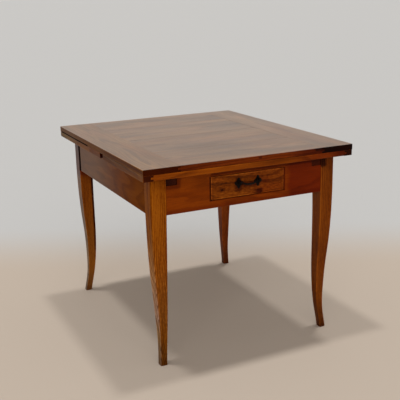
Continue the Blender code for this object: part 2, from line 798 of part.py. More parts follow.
def build_drawer_supports():
    """Bearers with side guides under the drawer, and kickers that keep it from tipping."""
    front = -APRON_INNER_Y + SEAT_GAP
    back = FRONT_RAIL_Y - SEAT_GAP
    low = BEARER_TOP - BEARER_THICK
    inner = DRAWER_WIDTH / 2 - SIDE_THICK - BEARER_REACH
    outer = GUIDE_X + GUIDE_THICK
    bearer = [
        (inner, low),
        (outer, low),
        (outer, BEARER_TOP + GUIDE_HEIGHT),
        (GUIDE_X, BEARER_TOP + GUIDE_HEIGHT),
        (GUIDE_X, BEARER_TOP),
        (inner, BEARER_TOP),
    ]
    kicker_top = KICKER_UNDER + KICKER_THICK
    kicker = [
        (GUIDE_X - KICKER_WIDTH, KICKER_UNDER),
        (GUIDE_X, KICKER_UNDER),
        (GUIDE_X, kicker_top),
        (GUIDE_X - KICKER_WIDTH, kicker_top),
    ]
    for side in SIDE_NAMES:
        for kind, outline in (("bearer", bearer), ("kicker", kicker)):
            name = f"drawer_{kind}_{SIDE_NAMES[side]}"
            mesh = extrusion(mirrored_x(outline, side), front, back, "Y", name)
            add_part(name, mesh, "inside", None, (DRAWER_ASIDE, 0, 0))


# The drawer, drawn in a frame whose Y runs inwards from its front face, with zero height at its bottom


def tails(low, high, count, shoulder, tip, start, finish, grow=0):
    """Dovetails between two heights, each as four points of (y, z) from start to finish."""
    module = (high - low) / count
    half = module * TAIL_SHARE / 2

    def half_at(y):
        return half + TAIL_FLARE * (y - shoulder) / (tip - shoulder) + grow

    made = []
    for k in range(count):
        centre = low + module * (k + 1 / 2)
        made.append(
            [
                (start, centre - half_at(start)),
                (finish, centre - half_at(finish)),
                (finish, centre + half_at(finish)),
                (start, centre + half_at(start)),
            ]
        )
    return made


def front_tails(start, finish, grow=0):
    """Tails of a side that enter the drawer's front."""
    shoulder = FRONT_THICK + SEAT_GAP
    return tails(0, SIDE_HEIGHT, FRONT_TAIL_COUNT, shoulder, FRONT_THICK - TAIL_LENGTH, start, finish, grow)


def back_tails(start, finish, grow=0):
    """Tails of a side that go right through the drawer's back."""
    shoulder = DRAWER_DEPTH - BACK_THICK - SEAT_GAP
    low = PANEL_TOP + SEAT_GAP
    high = SIDE_HEIGHT - BACK_DROP
    return tails(low, high, BACK_TAIL_COUNT, shoulder, DRAWER_DEPTH, start, finish, grow)


def side_outline():
    """Side board in Y and Z: half-blind tails in front, through tails behind."""
    shoulder = FRONT_THICK + SEAT_GAP
    back_shoulder = DRAWER_DEPTH - BACK_THICK - SEAT_GAP
    points = [(DRAWER_DEPTH, SIDE_HEIGHT), (shoulder, SIDE_HEIGHT)]
    for tail in reversed(front_tails(shoulder, FRONT_THICK - TAIL_LENGTH)):
        points += reversed(tail)
    points += [(shoulder, 0), (DRAWER_DEPTH, 0), (DRAWER_DEPTH, PANEL_TOP), (back_shoulder, PANEL_TOP)]
    for tail in back_tails(back_shoulder, DRAWER_DEPTH):
        points += tail
    clear_top = SIDE_HEIGHT - BACK_DROP + SEAT_GAP
    return points + [(back_shoulder, clear_top), (DRAWER_DEPTH, clear_top)]


def panel_block(gap):
    """Bottom panel, or the grooves that hold it when a gap is given."""
    half = DRAWER_WIDTH / 2 - SIDE_THICK + GROOVE_DEPTH - SEAT_GAP + gap
    front = FRONT_THICK - GROOVE_DEPTH + SEAT_GAP - gap
    back = DRAWER_DEPTH + (CUT_OVERRUN if gap else 0)
    return block((-half, front, PANEL_RISE - gap), (half, back, PANEL_TOP + gap), "drawer_bottom")


def build_drawer():
    """Dovetailed drawer on its slide."""
    slide = add_empty("drawer_slide", (DRAWER_ASIDE, -APRON_Y, DRAWER_UNDER))
    half = DRAWER_WIDTH / 2
    mesh = block((-half, 0, 0), (half, FRONT_THICK, DRAWER_HEIGHT), "drawer_front")
    round_edges(mesh, lambda middle, way: near(middle.y, 0), DRAWER_ROUND)
    front = add_part("drawer_front", mesh, "drawer_front", slide)
    low = PANEL_TOP + SEAT_GAP
    back_mesh = block((-half, DRAWER_DEPTH - BACK_THICK, low), (half, DRAWER_DEPTH, SIDE_HEIGHT - BACK_DROP))
    back = add_part("drawer_back", back_mesh, "inside", slide)
    add_part("drawer_bottom", panel_block(0), "inside", slide)
    cut(front, panel_block(SEAT_GAP))
    for side in SIDE_NAMES:
        name = f"drawer_side_{SIDE_NAMES[side]}"
        faces = sorted((side * half, side * (half - SIDE_THICK)))
        part = add_part(name, extrusion(side_outline(), *faces, "X", name), "inside", slide)
        cut(part, panel_block(SEAT_GAP))
        cut_sockets(front, back, side)
    build_pull(slide, front)


def cut_sockets(front, back, side):
    """Sockets for one side's tails in the drawer's front and back."""
    half = DRAWER_WIDTH / 2
    span = sorted((side * (half + CUT_OVERRUN), side * (half - SIDE_THICK - SEAT_GAP)))
    tip = FRONT_THICK - TAIL_LENGTH - SEAT_GAP
    for outline in front_tails(FRONT_THICK + CUT_OVERRUN, tip, SEAT_GAP):
        cut(front, extrusion(outline, *span, "X"))
    start = DRAWER_DEPTH - BACK_THICK - CUT_OVERRUN
    for outline in back_tails(start, DRAWER_DEPTH + CUT_OVERRUN, SEAT_GAP):
        cut(back, extrusion(outline, *span, "X"))


# The iron pull


def plate_outline():
    """Lobed plate in the post's own X and Y: four lobes on the axes, with its middle below the post."""
    points = []
    for k in range(PLATE_POINTS):
        angle = 2 * math.pi * k / PLATE_POINTS
        reach = (1 - PLATE_LOBE_SHARE * math.sin(2 * angle) ** 2) / 2
        x = PLATE_WIDTH * reach * math.cos(angle)
        points.append((x, PLATE_HEIGHT * reach * math.sin(angle) - POST_RISE))
    return points


def post_profile():
    """Post from its ball end down through neck and collar to the shank's tip."""
    points = []
    for k in range(BALL_POINTS):
        angle = math.pi / 2 - k * BALL_STEP
        points.append((POST_BALL * math.cos(angle), POST_STANDOFF + POST_BALL * math.sin(angle)))
    points[0] = (0, points[0][1])
    collar_top = PLATE_THICK + POST_COLLAR / 2
    points += [
        (POST_NECK, (points[-1][1] + collar_top) / 2),
        (POST_COLLAR, collar_top),
        (POST_COLLAR, PLATE_THICK / 2),
        (SHANK_RADIUS, PLATE_THICK / 2),
        (SHANK_RADIUS, -SHANK_DEPTH),
        (0, -SHANK_DEPTH),
    ]
    return points


def build_pull(slide, front):
    """Posts, their plates and the bail on the drawer's front."""
    height = DRAWER_HEIGHT * PULL_HEIGHT_SHARE + POST_RISE
    for side in SIDE_NAMES:
        x = side * PULL_SPACING / 2
        place = (x, -SEAT_GAP, height)
        post = turned_part(f"pull_post_{SIDE_NAMES[side]}", post_profile(), slide, place, "iron")
        post.rotation_euler.x = math.pi / 2
        join(post, extrusion(plate_outline(), 0, PLATE_THICK, "Z"))
        reach = POST_COLLAR + CUT_OVERRUN
        cut(post, rod(EYE_RADIUS, -reach, reach, "X", (0, POST_STANDOFF)))
        hole = SHANK_RADIUS + SEAT_GAP
        cut(front, rod(hole, -CUT_OVERRUN, SHANK_DEPTH, "Y", (x, height)))
    build_bail(slide, height)


def bail_route():
    """Points of the bail in X and Z from its axis, with each point's radius."""
    reach = PULL_SPACING / 2 - POST_BALL - BAIL_SIDE_CLEARANCE
    tip = PULL_SPACING / 2 + POST_NECK
    route = [(-tip, 0, BAIL_END_RADIUS)]
    for k in range(BAIL_POINTS + 1):
        share = math.cos(math.pi * k / BAIL_POINTS)
        swell = BAIL_END_RADIUS + (BAIL_MIDDLE_RADIUS - BAIL_END_RADIUS) * (1 - share**2)
        route.append((-reach * share, -BAIL_DROP * (1 - abs(share) ** BAIL_CURVE), swell))
    route.append((tip, 0, BAIL_END_RADIUS))
    return route


def build_bail(slide, height):
    """Bail that swings on pins in the posts' eyes; its origin is on their axis."""
    curve = bpy.data.curves.new("pull_bail", "CURVE")
    curve.dimensions = "3D"
    curve.bevel_depth = BAIL_END_RADIUS
    curve.bevel_resolution = 2
    curve.use_fill_caps = True
    route = bail_route()
    spline = curve.splines.new("POLY")
    spline.points.add(len(route) - 1)
    for point, (x, z, radius) in zip(spline.points, route):
        point.co = (x, 0, z, 1)
        point.radius = radius / BAIL_END_RADIUS
    add_part("pull_bail", curve, "iron", slide, (0, -SEAT_GAP - POST_STANDOFF, height))


def build_table():
    """The whole table."""
    build_top()
    build_leaf("front", 0, FRONT_RAIL_Y + RAIL_THICK + TOP_DEPTH / 2, FRONT_RUNNER_X)
    build_leaf("back", math.pi, TOP_DEPTH / 2 - BACK_RAIL_Y, BACK_RUNNER_X)
    build_legs()
    build_front_and_back_aprons()
    build_side_aprons()
    build_cross_rails()
    build_centre_board()
    build_drawer_supports()
    build_drawer()


build_table()
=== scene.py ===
"""Looks of the draw-leaf table: waxed old wood, an iron pull, a pale floor and soft studio light."""

import json
import math

import bmesh
import bpy
from mathutils import Matrix, Vector

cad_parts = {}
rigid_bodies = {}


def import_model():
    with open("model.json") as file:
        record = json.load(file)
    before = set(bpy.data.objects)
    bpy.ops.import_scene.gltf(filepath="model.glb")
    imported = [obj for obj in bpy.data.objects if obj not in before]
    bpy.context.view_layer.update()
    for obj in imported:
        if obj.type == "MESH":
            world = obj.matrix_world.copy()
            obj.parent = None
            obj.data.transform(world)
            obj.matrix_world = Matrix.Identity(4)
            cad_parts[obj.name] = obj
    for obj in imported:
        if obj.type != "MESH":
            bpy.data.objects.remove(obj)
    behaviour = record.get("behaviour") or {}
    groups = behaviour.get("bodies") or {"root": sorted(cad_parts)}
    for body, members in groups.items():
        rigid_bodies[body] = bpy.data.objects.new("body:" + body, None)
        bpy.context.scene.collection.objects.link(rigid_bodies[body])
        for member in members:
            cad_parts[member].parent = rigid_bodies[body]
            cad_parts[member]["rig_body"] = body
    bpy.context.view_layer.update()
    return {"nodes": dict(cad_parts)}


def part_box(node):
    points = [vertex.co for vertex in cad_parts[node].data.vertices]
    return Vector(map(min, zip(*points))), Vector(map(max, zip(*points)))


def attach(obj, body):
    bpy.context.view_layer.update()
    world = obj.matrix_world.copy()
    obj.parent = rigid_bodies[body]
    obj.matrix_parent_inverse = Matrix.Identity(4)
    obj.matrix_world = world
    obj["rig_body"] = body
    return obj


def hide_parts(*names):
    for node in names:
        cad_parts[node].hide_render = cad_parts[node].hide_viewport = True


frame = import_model()

# Camera, as fitted to the table's edges and feet
CAMERA_PLACE = Vector((-1.316, -2.782, 1.350))
CAMERA_YAW = math.radians(25.66)
CAMERA_PITCH = math.radians(15.57)
CAMERA_ROLL = math.radians(-1.19)
FOCAL_PIXELS = 740.5
PICTURE_PIXELS = 400
SENSOR = 36
FLOOR_RADIUS = 400

# Legs, finer than the solids and softer at the corners: heights are shares of the way up to the
# aprons, and the places of the outer and inner faces are shares of the side
LEG_SIDE = 0.0594
LEG_ARRIS = 0.007
LEG_CORNER = 0.0016
LEG_RINGS = 72
LEG_CURVE_POINTS = 24
CORNER_SHARE = 0.2
FOOT_EASING = 0.0012
FRONT_LEFT_DRIFT = 0.009
BACK_LEFT_DRIFT = 0.011
DRIFT_START_SHARE = 0.62
LEG_HEIGHT_SHARES = (0, 0.05, 0.12, 0.20, 0.32, 0.47, 0.64, 0.81, 0.92, 1)
LEG_OUTER_SHARES = (0.19, 0.245, 0.32, 0.355, 0.325, 0.25, 0.12, 0.037, 0.012, 0)
LEG_INNER_SHARES = (0.64, 0.69, 0.78, 0.865, 0.94, 0.975, 0.974, 0.974, 0.982, 1)
APRON_SETBACK = 0.0015
APRON_THICK = 0.024
TENON_THICK = 0.010
TENON_APART = 0.011
TENON_RISE = 0.012
TENON_DROP = 0.010
RUNNER_DEPTH = 0.0375
SEAT_GAP = 0.0003

# Pull
PLATE_WIDTH = 0.033
PLATE_HEIGHT = 0.042
PLATE_THICK = 0.0015
PLATE_LOBE_SHARE = 0.34
PLATE_POINTS = 112
PLATE_EASING = 0.0004
POST_RISE = 0.004
POST_STANDOFF = 0.0125
POST_BALL = 0.0066
POST_COLLAR = 0.0072
POST_NECK = 0.0042
BEAD_RADIUS = 0.0016
COLLAR_INSET = 0.0014
SHANK_RADIUS = 0.0025
SHANK_DEPTH = 0.012
EYE_PLAY = 0.0004
PULL_SPACING = 0.082
BAIL_END_RADIUS = 0.0028
BAIL_MIDDLE_RADIUS = 0.0040
BAIL_DROP = 0.0095
BAIL_SIDE_CLEARANCE = 0.0035
BAIL_CURVE = 3
BAIL_RINGS = 90

# Edges: welding distance, radii, and the angles of flat, sharp and creased ones
WELD = 0.00002
EASING = 0.0008
TOP_EASING = 0.0012
DRAWER_FRONT_EASING = 0.0006
PEG_EASING = 0.0003
FLAT_ANGLE = math.radians(0.6)
SHARP_ANGLE = math.radians(25)
CREASE_ANGLE = math.radians(35)

SIDES = ("left", "right")


def linear(red, green, blue):
    """Colour from display values of 0 to 255."""

    def one(value):
        share = value / 255
        return share / 12.92 if share <= 0.04045 else ((share + 0.055) / 1.055) ** 2.4

    return (one(red), one(green), one(blue), 1)


# Node trees


class Value:
    """An output that takes part in sums: each operator adds its Math node."""

    def __init__(self, graph, socket):
        self.graph = graph
        self.socket = socket

    def __add__(self, other):
        return self.graph.math("ADD", self, other)

    __radd__ = __add__

    def __mul__(self, other):
        return self.graph.math("MULTIPLY", self, other)

    __rmul__ = __mul__

    def __sub__(self, other):
        return self.graph.math("SUBTRACT", self, other)

    def __rsub__(self, other):
        return self.graph.math("SUBTRACT", other, self)

    def __truediv__(self, other):
        return self.graph.math("DIVIDE", self, other)

    def __pow__(self, other):
        return self.graph.math("POWER", self, other)


class Graph:
    """The nodes of one tree."""

    def __init__(self, tree):
        self.tree = tree
        tree.nodes.clear()

    def node(self, kind, settings=None, sockets=None):
        """Adds a node, first with its settings and then with its sockets' values or links."""
        made = self.tree.nodes.new(kind)
        for name, value in (settings or {}).items():
            if name == "stops":
                self.set_stops(made.color_ramp.elements, value)
            elif name == "curve":
                self.set_curve(made.mapping, value)
            else:
                setattr(made, name, value)
        for name, value in (sockets or {}).items():
            self.plug(made.inputs[name], value)
        return made

    def set_stops(self, elements, stops):
        """Gives a ramp its stops."""
        while len(elements) < len(stops):
            elements.new(0.5)
        for element, (place, colour) in zip(elements, stops):
            element.position = place
            element.color = colour

    def set_curve(self, mapping, points):
        """Gives a curve node its points."""
        curve = mapping.curves[0]
        while len(curve.points) < len(points):
            curve.points.new(0.5, 0.5)
        for point, place in zip(curve.points, points):
            point.location = place
            point.handle_type = "VECTOR"
        mapping.update()

    def plug(self, socket, value):
        """Links a socket to an output, or sets its value."""
        if isinstance(value, Value):
            value = value.socket
        if isinstance(value, bpy.types.Node):
            value = value.outputs[0]
        if isinstance(value, bpy.types.NodeSocket):
            self.tree.links.new(value, socket)
        else:
            socket.default_value = value

    def value(self, made, output=0):
        """Output of a node, ready for sums."""
        return Value(self, made.outputs[output])

    def math(self, operation, *values):
        """Math node on values."""
        return self.value(self.node("ShaderNodeMath", {"operation": operation}, dict(enumerate(values))))

    def vector(self, x, y, z):
        """Vector of three values."""
        return self.value(self.node("ShaderNodeCombineXYZ", None, {0: x, 1: y, 2: z}))

    def parts(self, vector):
        """A vector's three values."""
        made = self.node("ShaderNodeSeparateXYZ", None, {0: vector})
        return [self.value(made, k) for k in range(3)]


class Shader(Graph):
    """A material's nodes."""

    def __init__(self, name):
        self.material = bpy.data.materials.new(name)
        self.material.use_nodes = True
        super().__init__(self.material.node_tree)

    def step(self, value, low, high):
        """Smooth rise from 0 at low to 1 at high."""
        settings = {"interpolation_type": "SMOOTHSTEP"}
        return self.value(self.node("ShaderNodeMapRange", settings, {0: value, 1: low, 2: high}))

    def coordinates(self, name):
        """Coordinates of that name."""
        return self.node("ShaderNodeTexCoord").outputs[name]

    def noise(self, vector, scale=1.0, detail=3.0, roughness=0.5):
        """Noise about 0.5."""
        sockets = {"Vector": vector, "Scale": scale, "Detail": detail, "Roughness": roughness}
        return self.value(self.node("ShaderNodeTexNoise", None, sockets))

    def mix(self, share, first, second, blend="MIX"):
        """Colour between two colours."""
        settings = {"data_type": "RGBA", "blend_type": blend, "clamp_factor": True}
        return self.value(self.node("ShaderNodeMix", settings, {0: share, 6: first, 7: second}), 2)

    def tinted(self, share, colour, tint):
        """Colour multiplied by a tint to a share."""
        return self.mix(share, colour, self.mix(1.0, colour, (*tint, 1), "MULTIPLY"))

    def ramp(self, share, colours):
        """Colour from light to dark as a share goes from low to high."""
        stops = tuple(zip(TONE_STOPS, (linear(*colour) for colour in colours)))
        return self.value(self.node("ShaderNodeValToRGB", {"stops": stops}, {0: share}))

    def attribute(self, name):
        """The piece's own value of that name."""
        return self.value(self.node("ShaderNodeAttribute", {"attribute_name": name}), 2)

    def surface(self, colour, roughness, height, depth, settings):
        """Ends the tree in a Principled shader with a bump."""
        bump = self.node("ShaderNodeBump", None, {"Strength": 1.0, "Distance": depth, "Height": height})
        inputs = {"Base Color": colour, "Roughness": roughness, "Normal": bump, **settings}
        shader = self.node("ShaderNodeBsdfPrincipled", None, inputs)
        self.node("ShaderNodeOutputMaterial", None, {"Surface": shader})
        return self.material


class Growth(Graph):
    """A geometry tree with named sizes."""

    def __init__(self, name):
        super().__init__(bpy.data.node_groups.new(name, "GeometryNodeTree"))
        self.tree.interface.new_socket("Geometry", in_out="OUTPUT", socket_type="NodeSocketGeometry")
        self.given = self.node("NodeGroupInput")
        self.identifiers = {}

    def size(self, name, kind="Float"):
        """Named input of the tree."""
        socket = self.tree.interface.new_socket(name, in_out="INPUT", socket_type=f"NodeSocket{kind}")
        self.identifiers[name] = socket.identifier
        return Value(self, self.given.outputs[name])

    def shares(self, at, places, values):
        """Value from a curve through a table of shares."""
        steps = [k / LEG_CURVE_POINTS for k in range(LEG_CURVE_POINTS + 1)]
        points = [(step, smooth(places, values, step)) for step in steps]
        return self.value(self.node("ShaderNodeFloatCurve", {"curve": points}, {"Value": at}))

    def position(self):
        """Position as three values."""
        return self.parts(self.node("GeometryNodeInputPosition"))

    def stored(self, geometry, name, value):
        """Geometry with a value of its points kept under a name."""
        settings = {"data_type": "FLOAT", "domain": "POINT"}
        sockets = {"Geometry": geometry, "Name": name, "Value": value}
        return self.node("GeometryNodeStoreNamedAttribute", settings, sockets)

    def block(self, low, high):
        """Box between two corners, each given as three values."""
        size = self.vector(*(b - a for a, b in zip(low, high)))
        centre = self.vector(*((a + b) / 2 for a, b in zip(low, high)))
        cube = self.node("GeometryNodeMeshCube", None, {"Size": size})
        return self.node("GeometryNodeTransform", None, {"Geometry": cube, "Translation": centre})

    def end(self, geometry, finish):
        """Ends the tree with real faces in one finish."""
        whole = self.node("GeometryNodeRealizeInstances", None, {"Geometry": geometry})
        dressed = self.node("GeometryNodeSetMaterial", None, {"Geometry": whole, "Material": finish})
        self.node("NodeGroupOutput", None, {0: dressed})

    def grow(self, name, sizes):
        """Plain piece from the tree, with the given sizes."""
        piece = add_object(name, bpy.data.meshes.new(name))
        growing = piece.modifiers.new("growth", "NODES")
        growing.node_group = self.tree
        for key, value in sizes.items():
            growing[self.identifiers[key]] = value
        settle(piece)
        return piece


# Finishes

# Axis along the grain, then the two across it
GRAIN = {"X": (0, 1, 2), "Y": (1, 0, 2), "Z": (2, 0, 1)}

# Light, middle and dark tones of each wood, as display values
TONES = {
    "top": ((144, 105, 66), (108, 74, 43), (58, 36, 19)),
    "top_edge": ((130, 58, 8), (100, 39, 3), (60, 18, 1)),
    "leaf": ((146, 73, 9), (120, 55, 4), (78, 29, 2)),
    "apron": ((146, 66, 4), (120, 49, 1), (80, 27, 0)),
    "leg": ((156, 86, 14), (125, 60, 5), (84, 36, 2)),
    "drawer": ((150, 80, 16), (112, 51, 4), (60, 22, 2)),
    "inside": ((150, 112, 70), (124, 88, 52), (86, 56, 30)),
    "runner": ((84, 52, 34), (58, 32, 20), (32, 16, 10)),
}
TONE_STOPS = (0.15, 0.50, 0.90)

# Patterns in wood: length along the grain, width across it, detail and roughness
PATTERNS = {
    "wander": (0.75, 0.20, 2, 0.5),
    "ripple": (0.11, 0.020, 2, 0.5),
    "broad": (0.42, 0.075, 3, 0.5),
    "fibre": (0.090, 0.0026, 4, 0.6),
    "hair": (0.030, 0.0007, 3, 0.6),
    "pore": (0.011, 0.00055, 2, 0.5),
    "speckle": (0.014, 0.0045, 3, 0.65),
    "redness": (0.26, 0.070, 3, 0.5),
    "dulling": (0.16, 0.05, 3, 0.5),
    "rubbing": (0.045, 0.010, 3, 0.5),
}
RING_WIDTH = 0.0055
GRAIN_DEPTH = 0.00022
DEEP_TINT = (0.34, 0.26, 0.22, 1)
END_TINT = (0.45, 0.38, 0.36)

# Polished upper face: how far below its level it starts and is whole, and the tint of its redder parts
FACE_START = 0.0017
FACE_WHOLE = 0.0004
REDDER_TINT = (1.07, 0.96, 0.90)

# Left sides, where sheen and shade are painted as tints: the turn from front to left, and the heights at
# which the low tint is whole and gone
LEFT_TURN = (0.25, 0.95)
LOW_HEIGHTS = (0.17, 0.60)

# Wear of edges, how ragged marks are, and the tint below which a mark is dull
WORN_WIDTH = 0.0055
WORN_TINT = (2.0, 2.3, 3.0)
RAGGED_SCALE = 0.35
RAGGED_REACH = 2.4
DULL_TINT = 0.4

# Roughness of the wax, and the shine of wood under it, less on sides that face left
GLOSS = 0.42
TOP_GLOSS = 0.36
RUNNER_GLOSS = 0.55
INSIDE_GLOSS = 0.6
SHINE = 0.05
LEFT_SHINE = 0.02
LEFT_APRON_SHINE = 0.005


class Wood(Shader):
    """Nodes of one wood, with its grain along an axis and its patterns shifted by a seed."""

    def __init__(self, name, along, seed):
        super().__init__(name)
        self.spot = self.coordinates("Object")
        self.at = self.parts(self.spot)
        self.normal = self.parts(self.coordinates("Normal"))
        self.order = GRAIN[along]
        a, b, c = (self.at[k] for k in self.order)
        self.shifted = self.vector(a + seed * 1.37, b + seed * 0.71, c + seed * 0.43)

    def pattern(self, name):
        """Noise about 0.5, stretched along the grain."""
        length, width, detail, roughness = PATTERNS[name]
        scale = {0: self.shifted, 1: (1 / length, 1 / width, 1 / width)}
        stretched = self.node("ShaderNodeVectorMath", {"operation": "MULTIPLY"}, scale)
        return self.noise(stretched, 1, detail, roughness)

    def rings(self, heart, knots):
        """Late wood of the rings round a heart, which knots push aside, and the knots' cores."""
        a, b, c = (self.at[k] for k in self.order)
        across = b - heart[0]
        below = c - heart[1]
        radius = (across * across + below * below) ** 0.5
        radius = radius + self.pattern("wander") * 0.050 + self.pattern("ripple") * 0.004
        cores = 0.0
        for u, v, size in knots:
            away = ((a - u) * (a - u) * 0.35 + (c - v) * (c - v)) ** 0.5
            radius = radius + (1 - self.step(away, size * 0.3, size * 3.4)) * size * 0.7
            cores = cores + (1 - self.step(away, size * 0.45, size * 1.1))
        turn = self.math("FRACT", radius / RING_WIDTH)
        return self.step(turn, 0.30, 0.86) * (1 - self.step(turn, 0.90, 1.0)), cores

    def with_face(self, colour, share, tones, face):
        """Colour with an upper face in its own tones, redder in parts."""
        colour = self.mix(face, colour, self.ramp(share, TONES[tones]))
        redder = self.step(self.pattern("redness"), 0.44, 0.64)
        return self.tinted(face * redder, colour, REDDER_TINT)

    def with_end_grain(self, colour, tint):
        """Colour with a tint where the surface faces along the grain."""
        facing = self.normal[self.order[0]]
        return self.tinted(self.step(facing * facing, 0.35, 0.75), colour, tint)

    def with_left_light(self, colour, leftward, tint, low_light_tint):
        """Colour with the left side's tint, painted sheen and shade, and another one low down."""
        colour = self.tinted(leftward, colour, tint)
        if low_light_tint:
            low_down = 1 - self.step(self.at[2], *LOW_HEIGHTS)
            colour = self.tinted(leftward**3.0 * low_down, colour, low_light_tint)
        return colour

    def with_pores(self, colour, pore, cores, knots):
        """Colour with dark pores and dark knots."""
        deep = self.mix(1.0, colour, DEEP_TINT, "MULTIPLY")
        colour = self.mix(pore * 0.55, colour, deep)
        if knots:
            colour = self.mix(cores * 0.85, colour, deep)
        return colour

    def share_inside(self, low, high, soft):
        """How far a point is inside a box with soft, slightly ragged sides; None is no side."""
        if low == high == ANY:
            return 1.0
        softs = soft if isinstance(soft, tuple) else (soft, soft, soft)
        ragged = self.noise(self.spot, RAGGED_SCALE / max(softs), 3, 0.6) - 0.5
        share = 1.0
        for place, start, end, width in zip(self.at, low, high, softs):
            if start is None and end is None:
                continue
            place = place + ragged * width * RAGGED_REACH
            if start is not None:
                share = share * self.step(place, start - width, start + width)
            if end is not None:
                share = share * (1 - self.step(place, end - width, end + width))
        return share

    def with_marks(self, colour, marks):
        """Colour multiplied by the marks' tints, and how dull the dark marks are."""
        dull = 0.0
        for low, high, soft, tint in marks:
            share = self.share_inside(low, high, soft)
            colour = self.tinted(share, colour, tint)
            if tint[0] < DULL_TINT:
                dull = dull + share * (DULL_TINT - tint[0])
        return colour, dull

    def near_edge(self, box):
        """How near a point on a board is to one of the board's edges, 1 at the edge."""
        low, high = box
        x, y, z = (self.math("MINIMUM", self.at[k] - low[k], high[k] - self.at[k]) for k in range(3))
        nearer = self.math("MINIMUM", x, y)
        farther = self.math("MAXIMUM", x, y)
        middle = self.math("MAXIMUM", nearer, self.math("MINIMUM", farther, z))
        return 1 - self.step(middle, 0.0, WORN_WIDTH)

    def with_wear(self, colour, rough, box, wear):
        """Colour and roughness with the edges rubbed lighter and smoother."""
        edge = self.near_edge(box) if box else self.attribute("worn") ** 3
        rubbed = edge * self.step(self.pattern("rubbing") + edge * 0.15, 0.42, 0.62)
        return self.tinted(rubbed * wear, colour, WORN_TINT), rough - rubbed * 0.06


def wood(
    name,
    tones,
    along,
    seed,
    heart=(0.0, -0.03),
    figure=1.0,
    speckle=0.0,
    upper=None,
    box=None,
    wear=0.0,
    knots=(),
    marks=(),
    end_tint=END_TINT,
    left=None,
    polish=None,
    gloss=GLOSS,
    shine=SHINE,
):
    """Waxed wood of one piece: rings round a heart, fibres, pores, knots, marks and worn edges.

    The box is the piece's own. The tones named by upper are for its upper face, which is polished.
    The three values of left are its left side's tint of painted sheen and shade, that side's tint low
    down, and its polish.
    The four values of polish are an axis, the places where it starts and is whole, and its strength.
    """
    s = Wood(name, along, seed)
    late, cores = s.rings(heart, knots)
    fibre = s.pattern("fibre")
    hair = s.pattern("hair")
    pore = s.step(s.pattern("pore"), 0.60, 0.72)
    tone = (s.pattern("broad") - 0.5) * 0.95 + (late - 0.42) * 0.24 + (fibre - 0.5) * 0.62
    share = 0.5 + (tone + (hair - 0.5) * 0.28) * figure
    if speckle:
        share = share + (s.pattern("speckle") - 0.5) * speckle
    colour = s.ramp(share, TONES[tones])
    settings = {"Specular IOR Level": shine, "Coat Roughness": gloss}
    if upper:
        face = s.step(s.at[2], box[1].z - FACE_START, box[1].z - FACE_WHOLE)
        colour = s.with_face(colour, share, upper, face)
        settings["Coat Weight"] = face
    colour = s.with_end_grain(colour, end_tint)
    coat = None
    if left:
        leftward = s.step(s.normal[0] * -1, *LEFT_TURN)
        tint, low_light_tint, strength = left
        colour = s.with_left_light(colour, leftward, tint, low_light_tint)
        coat = leftward * strength if strength else None
    if polish:
        axis, start, whole, strength = polish
        coat = s.step(s.at[axis], start, whole) * strength
    colour = s.with_pores(colour, pore, cores, knots)
    colour, dull = s.with_marks(colour, marks)
    rough = gloss + (s.pattern("dulling") - 0.5) * 0.20 + pore * 0.08 + dull
    if wear:
        colour, rough = s.with_wear(colour, rough, box, wear)
    if coat:
        settings["Coat Weight"] = coat * (1 - s.math("MINIMUM", dull * 3, 1.0))
    height = fibre * 0.30 + hair * 0.20 + late * 0.22 - pore * 0.6
    return s.surface(colour, rough, height, GRAIN_DEPTH, settings)


def iron(name):
    """Old black iron: hammered, with brown rust in patches and rubbed brighter where hands touch it."""
    s = Shader(name)
    spot = s.coordinates("Object")
    hammered = s.noise(spot, 190, 1)
    grain = s.noise(spot, 1400, 3)
    rust = s.step(s.noise(spot, 120, 4, 0.65), 0.54, 0.70)
    rubbed = s.attribute("worn") * s.step(grain, 0.35, 0.6)
    colour = s.mix(rust * 0.45, linear(18, 13, 11), linear(46, 22, 12))
    colour = s.mix(rubbed * 0.40, colour, linear(50, 42, 38))
    rough = 0.40 + rust * 0.30 + (grain - 0.5) * 0.25
    settings = {"Metallic": 0.15, "Specular IOR Level": 0.05}
    return s.surface(colour, rough, hammered + grain * 0.15, 0.0006, settings)


# Marks on the table, painted light and shade among them: lowest corner, highest corner, softness and tint

ANY = (None, None, None)
LEFT_EDGE = -0.4345
LEFT_ARRIS = -0.4340
FRONT_EDGE = -0.5058
EDGE_SOFT = 0.0006
LEFT_SOFT = 0.0003


def all_over(tint):
    """Mark that tints a whole piece."""
    return (ANY, ANY, EDGE_SOFT, tint)


# Left side of the top and of the leaves: painted sheen, a painted reflection, and more of it towards the
# back
TOP_LEFT_PAINTED_SHEEN = (
    (ANY, (LEFT_EDGE, None, 0.7785), LEFT_SOFT, (0.90, 1.80, 3.4)),
    ((None, 0.24, None), (LEFT_EDGE, None, 0.7780), (LEFT_SOFT, 0.20, LEFT_SOFT), (1.12, 1.5, 6.0)),
)
LEAF_LEFT_PAINTED_SHEEN = (
    (ANY, (LEFT_EDGE, None, None), LEFT_SOFT, (0.86, 1.20, 2.0)),
    ((None, 0.24, None), (LEFT_EDGE, None, None), (LEFT_SOFT, 0.20, LEFT_SOFT), (0.86, 1.6, 9.0)),
)
